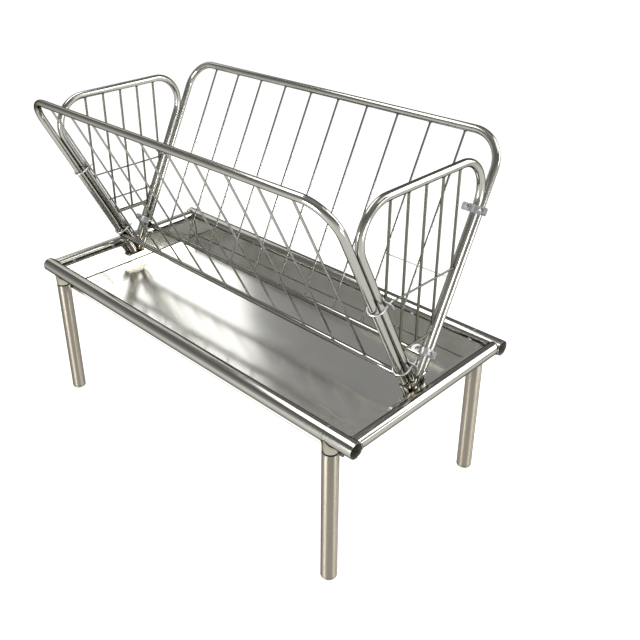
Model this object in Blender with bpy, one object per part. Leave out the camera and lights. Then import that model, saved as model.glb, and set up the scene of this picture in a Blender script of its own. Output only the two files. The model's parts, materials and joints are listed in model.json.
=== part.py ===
"""Stainless steel hay feeder: a tube frame with a feed tray, plug-on legs and a V-shaped hay rack.

X runs along the long rails, Y across them and Z up. The origin is on the floor, below the middle.
All sizes are in metres. Places on the rack are given along its slope: "down" is measured from the
axis of a side panel's top tube towards the foot of the V, and "inward" at right angles to the
panel, into the V.
"""

import math

import bmesh
import bpy
from mathutils import Matrix, Vector

# Main tube, which the long rails, the legs and the collars above the legs are cut from
MAIN_TUBE_DIAMETER = 0.050
MAIN_TUBE_WALL = 0.0015

# Base frame
RAIL_LENGTH = 1.566
RAIL_SPACING = 0.695
RAIL_HEIGHT = 0.520
END_RAIL_SETBACK = 0.0215
END_RAIL_DIAMETER = 0.041
END_RAIL_WALL = 0.0015

# Legs, which push up over stubs welded under the long rails and butt on the collars of the stubs
LEG_SETBACK = 0.091
LEG_FIT = 0.0005
LEG_BASE = 0.004
LEG_FOOT_ROUND = 0.006
LEG_INNER_CHAMFER = 0.003
COLLAR_SHOWING = 0.025
STUB_INSERT = 0.080
STUB_WALL = 0.0020

# Tray of folded sheet
TRAY_DEPTH = 0.078
TRAY_SHEET = 0.0015
TRAY_FLANGE = 0.0165
TRAY_END_DRAFT = 0.011

# Feet of the rack: a small plate at each end of the tray, with two slanted sockets on it
PLATE_RISE = 0.040
PLATE_THICKNESS = 0.003
PLATE_WIDTH = 0.100
PLATE_REACH = 0.032
PLATE_CLIP = 0.008
PLATE_HOLE_DIAMETER = 0.006
PLATE_HOLE_INSET = 0.012
SOCKET_DIAMETER = 0.032
SOCKET_WALL = 0.0028
SOCKET_LENGTH = 0.065
SOCKET_TO_WALL = 0.0021

# Side panels of the rack
RACK_TOP_WIDTH = 0.733
RACK_HEIGHT = 0.669
RACK_TUBE_DIAMETER = 0.025
RACK_TUBE_WALL = 0.0015
SIDE_CORNER_RADIUS = 0.100
LOWER_TUBE_DIAMETER = 0.019
LOWER_TUBE_ABOVE_SOCKET = 0.0316
LOWER_TUBE_OUTWARD = 0.003
SIDE_BAR_COUNT = 10
SIDE_BAR_END_SPACE = 0.133
SIDE_BAR_DIAMETER = 0.007
TIE_WIRE_DIAMETER = 0.0035
TIE_WIRE_DOWN = 0.435
TIE_WIRE_FIRST_BAR = 8

# End panels of the rack
END_TOP_DROP = 0.029
END_CORNER_RADIUS = 0.100
END_BAR_COUNT = 5
END_BAR_PITCH = 0.0745
END_BAR_DIAMETER = 0.008
END_BAR_OVERHANG = 0.008
CROSS_WIRE_DIAMETER = 0.006
UPPER_WIRE_ABOVE_BAR_FEET = 0.0072
MIDDLE_WIRE_HEIGHT = 0.217
LOWER_WIRE_HEIGHT = 0.148
LOWER_BAR_DIAMETER = 0.014
LOWER_BAR_HEIGHT = 0.160
VERTEX_WELD_RADIUS = 0.005

# Clamps: a U-bolt, a saddle plate and two nuts each
BOLT_DIAMETER = 0.006
BOLT_SPREAD = 0.047
SADDLE_LENGTH = 0.084
SADDLE_WIDTH = 0.024
SADDLE_SHEET = 0.0025
SADDLE_WING_RISE = 0.005
NUT_ACROSS_FLATS = 0.010
NUT_HEIGHT = 0.005
THREAD_SHOWING = 0.012
LOWER_CLAMP_CLEARANCE = 0.0055
UPPER_CLAMP_ABOVE_WIRE = {("front", "left"): 0.0474, ("front", "right"): 0.0074, ("rear", "left"): 0.0144}
UPPER_CLAMP_BELOW_BEND = {("rear", "right"): 0.003}

# Gap between pieces that touch
GAP = 0.0003

# How finely round forms are divided, and the turn from which an edge is shaded sharp
RAIL_SIDES = 20
SOCKET_SIDES = 16
RACK_SIDES = 12
BAR_SIDES = 8
BOLT_SIDES = 8
BEND_STEPS = 6
BOW_STEPS = 8
ARCH_STEPS = 6
FOOT_STEPS = 3
SHARP_DEGREES = 40
ANGLE_ROUNDS = 40

# Derived sizes
MAIN_RADIUS = MAIN_TUBE_DIAMETER / 2
MAIN_BORE_RADIUS = MAIN_RADIUS - MAIN_TUBE_WALL
END_RAIL_RADIUS = END_RAIL_DIAMETER / 2
RACK_RADIUS = RACK_TUBE_DIAMETER / 2
SOCKET_RADIUS = SOCKET_DIAMETER / 2
BOLT_RADIUS = BOLT_DIAMETER / 2
STUB_RADIUS = MAIN_BORE_RADIUS - LEG_FIT
LEG_TOP = RAIL_HEIGHT - MAIN_RADIUS - COLLAR_SHOWING
STUB_BOTTOM = LEG_TOP - STUB_INSERT
TRAY_FLOOR = RAIL_HEIGHT - TRAY_DEPTH
PLATE_TOP = TRAY_FLOOR + PLATE_RISE
RACK_TOP = RAIL_HEIGHT + RACK_HEIGHT
RACK_TOP_Y = RACK_TOP_WIDTH / 2
END_TUBE_INWARD = 2 * RACK_RADIUS + GAP
END_TOP = RACK_TOP - END_TOP_DROP
END_INNER_FACE = END_TUBE_INWARD + RACK_RADIUS
END_RAIL_X = RAIL_LENGTH / 2 - END_RAIL_SETBACK
LEG_X = RAIL_LENGTH / 2 - LEG_SETBACK
RAIL_Y = RAIL_SPACING / 2
TRAY_EDGE_X = END_RAIL_X - END_RAIL_RADIUS - GAP
TRAY_WALL_X = TRAY_EDGE_X - TRAY_FLANGE
TRAY_WALL_Y = RAIL_Y - MAIN_RADIUS - GAP - TRAY_SHEET
PLATE_BOTTOM = PLATE_TOP - PLATE_THICKNESS
PLATE_WALL_X = TRAY_WALL_X - TRAY_END_DRAFT * (RAIL_HEIGHT - PLATE_BOTTOM) / TRAY_DEPTH - GAP
RACK_X = PLATE_WALL_X - SOCKET_RADIUS - SOCKET_TO_WALL
SIDE_BAR_PITCH = 2 * (RACK_X - SIDE_BAR_END_SPACE) / (SIDE_BAR_COUNT - 1)
OUTER_BAR_Y = END_BAR_PITCH * (END_BAR_COUNT - 1) / 2
SIDES = {"front": -1, "rear": 1}
ENDS = {"left": -1, "right": 1}


def find_rack_angle():
    """Lean of the side panels, at which the two sockets of a foot just meet above the plate."""
    angle = math.atan(RACK_TOP_Y / RACK_HEIGHT)
    for _ in range(ANGLE_ROUNDS):
        end_y = SOCKET_RADIUS * math.cos(angle) + GAP
        end_z = PLATE_TOP + GAP + SOCKET_RADIUS * math.sin(angle)
        angle = math.atan((RACK_TOP_Y - end_y) / (RACK_TOP - end_z))
    return angle


RACK_ANGLE = find_rack_angle()
LEAN_SIN = math.sin(RACK_ANGLE)
LEAN_COS = math.cos(RACK_ANGLE)
SOCKET_END_DOWN = (RACK_TOP - PLATE_TOP - GAP - SOCKET_RADIUS * LEAN_SIN) / LEAN_COS
SIDE_TUBE_END_DOWN = (RACK_TOP - PLATE_TOP - GAP - RACK_RADIUS * LEAN_SIN) / LEAN_COS
END_TUBE_END_DOWN = (RACK_TOP_Y - END_INNER_FACE * LEAN_COS - GAP) / LEAN_SIN
END_CORNER_DOWN = (END_TOP_DROP + END_TUBE_INWARD * LEAN_SIN) / LEAN_COS
END_BEND_DOWN = END_CORNER_DOWN + END_CORNER_RADIUS * math.tan((math.pi / 2 + RACK_ANGLE) / 2)
OUTER_BAR_DOWN = (RACK_TOP_Y - END_TUBE_INWARD * LEAN_COS - OUTER_BAR_Y) / LEAN_SIN
OUTER_BAR_FOOT = RACK_TOP - OUTER_BAR_DOWN * LEAN_COS + END_TUBE_INWARD * LEAN_SIN + RACK_RADIUS / LEAN_SIN
UPPER_WIRE = OUTER_BAR_FOOT + UPPER_WIRE_ABOVE_BAR_FEET
UPPER_WIRE_DOWN = (RACK_TOP + END_INNER_FACE * LEAN_SIN - UPPER_WIRE) / LEAN_COS
LOWER_TUBE_DOWN = SOCKET_END_DOWN - SOCKET_LENGTH - LOWER_TUBE_ABOVE_SOCKET - LOWER_TUBE_DIAMETER / 2
LOWER_CLAMP_DOWN = LOWER_TUBE_DOWN - LOWER_TUBE_DIAMETER / 2 - BOLT_RADIUS - LOWER_CLAMP_CLEARANCE


def on_panel(side, x, down, inward=0.0):
    """Point in the world for a place on the front (-1) or rear (+1) side panel."""
    y = RACK_TOP_Y - down * LEAN_SIN - inward * LEAN_COS
    z = RACK_TOP - down * LEAN_COS + inward * LEAN_SIN
    return Vector((x, side * y, z))


def panel_inward(side):
    """Unit vector at right angles to a side panel, into the V."""
    return Vector((0.0, -side * LEAN_COS, LEAN_SIN))


def panel_down(side):
    """Unit vector down the slope of a side panel."""
    return Vector((0.0, -side * LEAN_SIN, -LEAN_COS))


def clear_scene():
    """Remove every object that the scene holds."""
    for old in list(bpy.data.objects):
        bpy.data.objects.remove(old)


def make_material(name, colour, roughness, metallic=1.0):
    """Plain Principled material."""
    material = bpy.data.materials.new(name)
    material.use_nodes = True
    shader = material.node_tree.nodes["Principled BSDF"]
    shader.inputs["Base Color"].default_value = (*colour, 1.0)
    shader.inputs["Roughness"].default_value = roughness
    shader.inputs["Metallic"].default_value = metallic
    return material


def move_origin(item, origin):
    """Put an object's origin at a point, with its shape left where it is."""
    item.data.transform(Matrix.Translation(-origin))
    item.location = origin


def make_slide(name, place, heading):
    """Empty on the axis of a sliding joint, with its Z axis along the slide."""
    slide = bpy.data.objects.new(name, None)
    slide.location = place
    slide.rotation_euler = heading.to_track_quat("Z", "Y").to_euler()
    bpy.context.scene.collection.objects.link(slide)
    return slide


def carry(slide, item):
    """Parent an object to a slide's empty, with its shape left where it is."""
    item.parent = slide
    item.matrix_parent_inverse = slide.matrix_basis.inverted()


def make_object(name, mesh_maker, material=None, origin=None):
    """Link a new object whose bmesh is filled by mesh_maker; round sides are shaded smooth."""
    work = bmesh.new()
    mesh_maker(work)
    bmesh.ops.recalc_face_normals(work, faces=work.faces)
    mesh = bpy.data.meshes.new(name)
    work.to_mesh(mesh)
    work.free()
    mesh.shade_smooth()
    mesh.set_sharp_from_angle(angle=math.radians(SHARP_DEGREES))
    if material:
        mesh.materials.append(material)
    item = bpy.data.objects.new(name, mesh)
    bpy.context.scene.collection.objects.link(item)
    if origin:
        move_origin(item, origin)
    return item


def ring(work, centre, axis_a, axis_b, radius, sides):
    """Vertices of a circle around centre in the plane of two unit axes."""
    turn = 2 * math.pi / sides
    return [
        work.verts.new(centre + radius * (math.cos(k * turn) * axis_a + math.sin(k * turn) * axis_b))
        for k in range(sides)
    ]


def bridge(work, ring_a, ring_b):
    """Quads between two rings of equal length."""
    count = len(ring_a)
    for k in range(count):
        after = (k + 1) % count
        work.faces.new((ring_a[k], ring_a[after], ring_b[after], ring_b[k]))


def sweep(work, path, across, radius, sides, wall=None):
    """Round bar, or tube if it has a wall, along a flat path; across is normal to the path's plane."""
    outer = []
    inner = []
    last = len(path) - 1
    for k, point in enumerate(path):
        before = (point - path[k - 1]).normalized() if k > 0 else None
        after = (path[k + 1] - point).normalized() if k < last else None
        heading = ((before or after) + (after or before)).normalized()
        normal = across.cross(heading).normalized()
        stretch = 1.0 / heading.dot(after or before)
        outer.append(ring(work, point, normal * stretch, across, radius, sides))
        if wall:
            inner.append(ring(work, point, normal * stretch, across, radius - wall, sides))
    for loops in (outer, inner):
        for k in range(len(loops) - 1):
            bridge(work, loops[k], loops[k + 1])
    if wall:
        bridge(work, outer[0], inner[0])
        bridge(work, outer[-1], inner[-1])
    else:
        work.faces.new(outer[0])
        work.faces.new(outer[-1])


def straight(work, start, end, radius, sides, wall=None):
    """Straight bar or tube between two points."""
    heading = (end - start).normalized()
    runs_across = abs(heading.x) < abs(heading.y) + abs(heading.z)
    guide = Vector((1, 0, 0)) if runs_across else Vector((0, 1, 0))
    across = (guide - heading * heading.dot(guide)).normalized()
    sweep(work, [start, end], across, radius, sides, wall)


def bend(corner, arrive, leave, radius, steps):
    """Points of the arc that rounds a corner between two headings."""
    turn = arrive.angle(leave)
    setback = radius * math.tan(turn / 2)
    start = corner - arrive * setback
    to_centre = (leave - arrive * leave.dot(arrive)).normalized()
    centre = start + to_centre * radius
    points = []
    for k in range(steps + 1):
        angle = turn * k / steps
        points.append(centre - to_centre * radius * math.cos(angle) + arrive * radius * math.sin(angle))
    return points


def lathe(work, profile, centre, sides):
    """Solid turned about a vertical line; the profile of (radius, z) runs from axis to axis or round."""
    loops = []
    for radius, height in profile:
        middle = Vector((centre[0], centre[1], height))
        if radius == 0:
            loops.append([work.verts.new(middle)])
        else:
            loops.append(ring(work, middle, Vector((1, 0, 0)), Vector((0, 1, 0)), radius, sides))
    if len(loops[0]) > 1:
        loops.append(loops[0])
    for first, second in zip(loops, loops[1:]):
        if len(first) == 1 or len(second) == 1:
            tip, rim = (first, second) if len(first) == 1 else (second, first)
            for k in range(sides):
                work.faces.new((tip[0], rim[k], rim[(k + 1) % sides]))
        else:
            bridge(work, first, second)


def extrude_outline(work, outline, along):
    """Prism from a flat outline of points, pushed along a vector."""
    near = [work.verts.new(point) for point in outline]
    far = [work.verts.new(point + along) for point in outline]
    work.faces.new(near)
    work.faces.new(far)
    bridge(work, near, far)


def combine(target, others, operation):
    """Apply exact Booleans of one kind to target, then remove the other objects."""
    for other in others:
        other.hide_render = True
        other.display_type = "WIRE"
        step = target.modifiers.new(operation.title(), "BOOLEAN")
        step.operation = operation
        step.solver = "EXACT"
        step.object = other
    graph = bpy.context.evaluated_depsgraph_get()
    mesh = bpy.data.meshes.new_from_object(target.evaluated_get(graph))
    target.modifiers.clear()
    target.data = mesh
    for other in others:
        bpy.data.objects.remove(other)
    return target


def cylinder_tool(start, end, radius, sides):
    """Solid cylinder used to cut or to add."""
    return make_object("tool", lambda work: straight(work, start, end, radius, sides))


def clearance_tool(path, across):
    """Solid along a rack tube's centre line that leaves the usual gap round the tube."""
    return make_object("tool", lambda work: sweep(work, path, across, RACK_RADIUS + GAP, RACK_SIDES))


def build_base(steel):
    """Long rails, end rails and the stubs that the legs push over."""
    rail_cutters = []
    for side_name, side in SIDES.items():
        y = side * RAIL_Y
        start = Vector((-RAIL_LENGTH / 2, y, RAIL_HEIGHT))
        end = Vector((RAIL_LENGTH / 2, y, RAIL_HEIGHT))
        make_object(
            f"long_rail_{side_name}",
            lambda work, a=start, b=end: straight(work, a, b, MAIN_RADIUS, RAIL_SIDES, MAIN_TUBE_WALL),
            steel,
            Vector((0, y, RAIL_HEIGHT)),
        )
        rail_cutters.append((start, end))
    for end_name, side in ENDS.items():
        x = side * END_RAIL_X
        start = Vector((x, -RAIL_Y, RAIL_HEIGHT))
        end = Vector((x, RAIL_Y, RAIL_HEIGHT))
        rail = make_object(
            f"end_rail_{end_name}",
            lambda work, a=start, b=end: straight(work, a, b, END_RAIL_RADIUS, RAIL_SIDES, END_RAIL_WALL),
            steel,
            Vector((x, 0, RAIL_HEIGHT)),
        )
        tools = [cylinder_tool(a, b, MAIN_RADIUS + GAP, RAIL_SIDES) for a, b in rail_cutters]
        combine(rail, tools, "DIFFERENCE")
    stub_bore = STUB_RADIUS - STUB_WALL
    profile = [
        (stub_bore, RAIL_HEIGHT),
        (MAIN_RADIUS, RAIL_HEIGHT),
        (MAIN_RADIUS, LEG_TOP + GAP),
        (STUB_RADIUS, LEG_TOP + GAP),
        (STUB_RADIUS, STUB_BOTTOM),
        (stub_bore, STUB_BOTTOM),
    ]
    for (side_name, side), (start, end) in zip(SIDES.items(), rail_cutters):
        for end_name, end_side in ENDS.items():
            centre = Vector((end_side * LEG_X, side * RAIL_Y, LEG_TOP))
            stub = make_object(
                f"leg_stub_{side_name}_{end_name}",
                lambda work, c=centre: lathe(work, profile, c, RAIL_SIDES),
                steel,
                centre,
            )
            combine(stub, [cylinder_tool(start, end, MAIN_RADIUS + GAP, RAIL_SIDES)], "DIFFERENCE")


def build_legs(steel):
    """Tube legs, open above and closed below by a foot; each slides along its own axis."""
    foot = []
    for k in range(FOOT_STEPS + 1):
        angle = math.pi / 2 * k / FOOT_STEPS
        radius = MAIN_RADIUS - LEG_FOOT_ROUND * (1 - math.sin(angle))
        foot.append((radius, LEG_FOOT_ROUND * (1 - math.cos(angle))))
    profile = [
        (0.0, 0.0),
        *foot,
        (MAIN_RADIUS, LEG_TOP),
        (MAIN_BORE_RADIUS, LEG_TOP),
        (MAIN_BORE_RADIUS, LEG_FOOT_ROUND),
        (MAIN_BORE_RADIUS - LEG_INNER_CHAMFER, LEG_BASE),
        (0.0, LEG_BASE),
    ]
    for side_name, side in SIDES.items():
        for end_name, end_side in ENDS.items():
            centre = Vector((end_side * LEG_X, side * RAIL_Y, LEG_TOP))
            make_object(
                f"leg_{side_name}_{end_name}",
                lambda work, c=centre: lathe(work, profile, c, RAIL_SIDES),
                steel,
                centre,
            )


def build_tray(sheet):
    """Folded tray: a floor, upright long walls, leaning end walls and a flange at each end."""
    floor_x = TRAY_WALL_X - TRAY_END_DRAFT

    def fill(work):
        points = {}

        def corner(key, x, y, z):
            points[key] = work.verts.new((x, y, z))

        for a in (-1, 1):
            for b in (-1, 1):
                corner((a, b, "floor"), a * floor_x, b * TRAY_WALL_Y, TRAY_FLOOR)
                corner((a, b, "rim"), a * TRAY_WALL_X, b * TRAY_WALL_Y, RAIL_HEIGHT)
                corner((a, b, "edge"), a * TRAY_EDGE_X, b * TRAY_WALL_Y, RAIL_HEIGHT)
        turns = ((-1, -1), (1, -1), (1, 1), (-1, 1))
        work.faces.new([points[(a, b, "floor")] for a, b in turns])
        for k, first in enumerate(turns):
            second = turns[(k + 1) % 4]
            work.faces.new(
                [
                    points[(*first, "floor")],
                    points[(*first, "rim")],
                    points[(*second, "rim")],
                    points[(*second, "floor")],
                ]
            )
        for a in (-1, 1):
            near = [points[(a, -1, "rim")], points[(a, -1, "edge")]]
            far = [points[(a, 1, "edge")], points[(a, 1, "rim")]]
            work.faces.new(near + far)

    tray = make_object("tray", fill, sheet, Vector((0, 0, TRAY_FLOOR)))
    floor = min(tray.data.polygons, key=lambda face: face.center.z)
    if floor.normal.z < 0:
        tray.data.flip_normals()
    thickness = tray.modifiers.new("Sheet", "SOLIDIFY")
    thickness.thickness = TRAY_SHEET
    thickness.offset = -1.0
    thickness.use_even_offset = True


def build_feet(sheet, steel):
    """Foot plates at the end walls, each with the two sockets that the side panels stand in."""
    for end_name, end_side in ENDS.items():
        inner_x = PLATE_WALL_X - PLATE_REACH
        half = PLATE_WIDTH / 2
        outline = [
            (PLATE_WALL_X, -half),
            (inner_x + PLATE_CLIP, -half),
            (inner_x, -half + PLATE_CLIP),
            (inner_x, half - PLATE_CLIP),
            (inner_x + PLATE_CLIP, half),
            (PLATE_WALL_X, half),
        ]
        base = [Vector((end_side * x, y, PLATE_BOTTOM)) for x, y in outline]
        plate = make_object(
            f"foot_plate_{end_name}",
            lambda work, points=base: extrude_outline(work, points, Vector((0, 0, PLATE_THICKNESS))),
            sheet,
            Vector((end_side * PLATE_WALL_X, 0, PLATE_TOP)),
        )
        holes = []
        for y in (-half + PLATE_HOLE_INSET, half - PLATE_HOLE_INSET):
            middle = Vector((end_side * (inner_x + PLATE_HOLE_INSET), y, PLATE_TOP))
            reach = Vector((0, 0, 2 * PLATE_THICKNESS))
            radius = PLATE_HOLE_DIAMETER / 2
            holes.append(cylinder_tool(middle - reach, middle + reach, radius, BAR_SIDES))
        combine(plate, holes, "DIFFERENCE")
        for side_name, side in SIDES.items():
            mouth = on_panel(side, end_side * RACK_X, SOCKET_END_DOWN - SOCKET_LENGTH)
            bottom = on_panel(side, end_side * RACK_X, SOCKET_END_DOWN)
            make_object(
                f"socket_{side_name}_{end_name}",
                lambda work, a=mouth, b=bottom: straight(
                    work, a, b, SOCKET_RADIUS, SOCKET_SIDES, SOCKET_WALL
                ),
                steel,
                mouth,
            )


def side_frame_path(side):
    """Centre line of a side panel's bent tube, from its left foot over the top to its right foot."""
    down = panel_down(side)
    along = Vector((1, 0, 0))
    path = [on_panel(side, -RACK_X, SIDE_TUBE_END_DOWN)]
    path += bend(on_panel(side, -RACK_X, 0), -down, along, SIDE_CORNER_RADIUS, BEND_STEPS)
    path += bend(on_panel(side, RACK_X, 0), along, down, SIDE_CORNER_RADIUS, BEND_STEPS)
    path.append(on_panel(side, RACK_X, SIDE_TUBE_END_DOWN))
    return path


def build_side_panels(steel, wire):
    """Side panels: a bent tube that stands in the sockets, and its bars on a lower tube.

    Each panel is carried by an empty at its foot, which slides up the slope out of the sockets.
    The empties are returned by side.
    """
    slides = {}
    for side_name, side in SIDES.items():
        foot_middle = on_panel(side, 0, SIDE_TUBE_END_DOWN)
        slides[side_name] = make_slide(f"side_panel_{side_name}_slide", foot_middle, -panel_down(side))
        path = side_frame_path(side)
        tube = make_object(
            f"side_frame_{side_name}",
            lambda work, p=path, n=panel_inward(side): sweep(
                work, p, n, RACK_RADIUS, RACK_SIDES, RACK_TUBE_WALL
            ),
            steel,
            on_panel(side, 0, 0),
        )
        lower = -LOWER_TUBE_OUTWARD
        bars = make_object(
            f"side_bars_{side_name}",
            lambda work, s=side: straight(
                work,
                on_panel(s, -RACK_X, LOWER_TUBE_DOWN, lower),
                on_panel(s, RACK_X, LOWER_TUBE_DOWN, lower),
                LOWER_TUBE_DIAMETER / 2,
                RACK_SIDES,
            ),
            wire,
            on_panel(side, 0, LOWER_TUBE_DOWN, lower),
        )
        tools = []
        for k in range(SIDE_BAR_COUNT):
            x = (k - (SIDE_BAR_COUNT - 1) / 2) * SIDE_BAR_PITCH
            top = on_panel(side, x, 0)
            foot = on_panel(side, x, LOWER_TUBE_DOWN)
            tools.append(cylinder_tool(top, foot, SIDE_BAR_DIAMETER / 2, BAR_SIDES))
        if side_name == "rear":
            x = (TIE_WIRE_FIRST_BAR - (SIDE_BAR_COUNT - 1) / 2) * SIDE_BAR_PITCH
            start = on_panel(side, x, TIE_WIRE_DOWN, SIDE_BAR_DIAMETER / 2)
            end = on_panel(side, RACK_X, TIE_WIRE_DOWN, SIDE_BAR_DIAMETER / 2)
            tools.append(cylinder_tool(start, end, TIE_WIRE_DIAMETER / 2, BAR_SIDES))
        combine(bars, tools, "UNION")
        combine(bars, [clearance_tool(path, panel_inward(side))], "DIFFERENCE")
        carry(slides[side_name], tube)
        carry(slides[side_name], bars)
    return slides


def end_frame_path(x):
    """Centre line of an end panel's bent tube, from its front foot over the top to its rear foot."""
    across = Vector((0, 1, 0))
    path = [on_panel(-1, x, END_TUBE_END_DOWN, END_TUBE_INWARD)]
    for side in (-1, 1):
        corner = on_panel(side, x, END_CORNER_DOWN, END_TUBE_INWARD)
        heading = panel_down(side)
        turns = (-heading, across) if side < 0 else (across, heading)
        path += bend(corner, *turns, END_CORNER_RADIUS, BEND_STEPS)
    path.append(on_panel(1, x, END_TUBE_END_DOWN, END_TUBE_INWARD))
    return path


def inner_y(height):
    """Distance from the middle to the axis of an end panel's slanted tube at a height."""
    down = (RACK_TOP + END_TUBE_INWARD * LEAN_SIN - height) / LEAN_COS
    return abs(on_panel(1, 0, down, END_TUBE_INWARD).y)


def inner_height(y):
    """Height of the axis of an end panel's slanted tube at a distance from the middle."""
    down = (RACK_TOP_Y - END_TUBE_INWARD * LEAN_COS - abs(y)) / LEAN_SIN
    return on_panel(1, 0, down, END_TUBE_INWARD).z


def build_end_frame(end_name, x, steel):
    """Bent tube of an end panel, welded where its feet meet and notched to clear the sockets."""
    path = end_frame_path(x)
    frame = make_object(
        f"end_frame_{end_name}",
        lambda work: sweep(work, path, Vector((1, 0, 0)), RACK_RADIUS, RACK_SIDES, RACK_TUBE_WALL),
        steel,
        Vector((x, 0, END_TOP)),
    )
    weld = on_panel(1, x, END_TUBE_END_DOWN, END_INNER_FACE)
    reach = Vector((VERTEX_WELD_RADIUS, 0, 0))
    middle = Vector((x, 0, weld.z))
    bead = cylinder_tool(middle - reach, middle + reach, VERTEX_WELD_RADIUS, BAR_SIDES)
    combine(frame, [bead], "UNION")
    notches = []
    for side in SIDES.values():
        start = on_panel(side, x, SOCKET_END_DOWN - SOCKET_LENGTH - GAP)
        end = on_panel(side, x, SOCKET_END_DOWN)
        notches.append(cylinder_tool(start, end, SOCKET_RADIUS + GAP, SOCKET_SIDES))
    combine(frame, notches, "DIFFERENCE")


def build_end_bars(end_name, end_side, wire):
    """Upright bars of an end panel with wires across their outer faces, all seated on the bent tube."""
    x = end_side * RACK_X
    wire_x = x + end_side * END_BAR_DIAMETER / 2
    crossings = [(wire_x, UPPER_WIRE, CROSS_WIRE_DIAMETER)]
    if end_name == "left":
        crossings.append((wire_x, RAIL_HEIGHT + MIDDLE_WIRE_HEIGHT, CROSS_WIRE_DIAMETER))
        crossings.append((x, RAIL_HEIGHT + LOWER_BAR_HEIGHT, LOWER_BAR_DIAMETER))
        lowest = RAIL_HEIGHT + LOWER_BAR_HEIGHT
    else:
        crossings.append((wire_x, RAIL_HEIGHT + LOWER_WIRE_HEIGHT, CROSS_WIRE_DIAMETER))
        lowest = RAIL_HEIGHT + LOWER_WIRE_HEIGHT - END_BAR_OVERHANG
    tools = []
    for cross_x, z, diameter in crossings:
        start = Vector((cross_x, -inner_y(z), z))
        end = Vector((cross_x, inner_y(z), z))
        tools.append(cylinder_tool(start, end, diameter / 2, BAR_SIDES))
    for k in range(END_BAR_COUNT):
        y = k * END_BAR_PITCH - OUTER_BAR_Y
        top = Vector((x, y, END_TOP))
        foot = Vector((x, y, max(inner_height(y), lowest)))
        tools.append(cylinder_tool(top, foot, END_BAR_DIAMETER / 2, BAR_SIDES))
    bars = tools.pop()
    bars.name = f"end_bars_{end_name}"
    bars.data.materials.append(wire)
    combine(bars, tools, "UNION")
    combine(bars, [clearance_tool(end_frame_path(x), Vector((1, 0, 0)))], "DIFFERENCE")
    move_origin(bars, Vector((x, 0, END_TOP)))


def build_end_panels(steel, wire):
    """Both end panels of the rack."""
    for end_name, end_side in ENDS.items():
        build_end_frame(end_name, end_side * RACK_X, steel)
        build_end_bars(end_name, end_side, wire)


def clamp_point(side, x, down, across, inward):
    """Point on a clamp: across runs along the panel from the tube's axis."""
    return on_panel(side, x + across, down, inward)


def build_bolt(name, side, x, down, thread_end, zinc):
    """U-bolt: a bow round the outer tube and two legs through the saddle."""
    half = BOLT_SPREAD / 2
    centre = half - RACK_RADIUS - GAP - BOLT_RADIUS
    path = [clamp_point(side, x, down, -half, thread_end)]
    for k in range(BOW_STEPS + 1):
        angle = math.pi * k / BOW_STEPS
        across = -half * math.cos(angle)
        path.append(clamp_point(side, x, down, across, centre - half * math.sin(angle)))
    path.append(clamp_point(side, x, down, half, thread_end))
    return make_object(
        name,
        lambda work: sweep(work, path, panel_down(side), BOLT_RADIUS, BOLT_SIDES),
        zinc,
        on_panel(side, x, down),
    )


def saddle_outline():
    """Cross-section of a saddle as (across, inward): two wings and an arch over the tube."""
    low = END_TUBE_INWARD + SADDLE_WING_RISE
    inner = RACK_RADIUS + GAP
    outer = inner + SADDLE_SHEET
    half = SADDLE_LENGTH / 2

    def arch(radius, height):
        """Points of the arch from its right foot to its left foot."""
        start = math.asin(height / radius)
        turns = [start + (math.pi - 2 * start) * k / ARCH_STEPS for k in range(ARCH_STEPS + 1)]
        return [(radius * math.cos(a), END_TUBE_INWARD + radius * math.sin(a)) for a in turns]

    under = arch(inner, SADDLE_WING_RISE)
    over = arch(outer, SADDLE_WING_RISE + SADDLE_SHEET)
    top = low + SADDLE_SHEET
    return [(half, low), *under, (-half, low), (-half, top), *reversed(over), (half, top)]


def build_saddle(name, side, x, down, zinc):
    """Bent plate over the end panel's tube, with a hole in each wing for the bolt."""
    outline = [clamp_point(side, x, down - SADDLE_WIDTH / 2, a, b) for a, b in saddle_outline()]
    saddle = make_object(
        name,
        lambda work: extrude_outline(work, outline, panel_down(side) * SADDLE_WIDTH),
        zinc,
        on_panel(side, x, down, END_TUBE_INWARD),
    )
    wing = END_TUBE_INWARD + SADDLE_WING_RISE
    holes = []
    for across in (-BOLT_SPREAD / 2, BOLT_SPREAD / 2):
        start = clamp_point(side, x, down, across, wing - SADDLE_SHEET)
        end = clamp_point(side, x, down, across, wing + 2 * SADDLE_SHEET)
        holes.append(cylinder_tool(start, end, BOLT_RADIUS + GAP, BOLT_SIDES))
    return combine(saddle, holes, "DIFFERENCE")


def build_nut(name, side, x, down, across, seat, zinc):
    """Hexagon nut on a leg of the bolt, seated on the saddle's wing."""
    corner_radius = NUT_ACROSS_FLATS / math.sqrt(3)
    start = clamp_point(side, x, down, across, seat)
    along = panel_inward(side) * NUT_HEIGHT
    corners = []
    for k in range(6):
        angle = k * math.pi / 3
        sideways = Vector((corner_radius * math.cos(angle), 0, 0))
        corners.append(start + sideways + panel_down(side) * corner_radius * math.sin(angle))
    nut = make_object(name, lambda work: extrude_outline(work, corners, along), zinc, start)
    bore = cylinder_tool(start - along, start + 2 * along, BOLT_RADIUS + GAP, BOLT_SIDES)
    return combine(nut, [bore], "DIFFERENCE")


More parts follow.
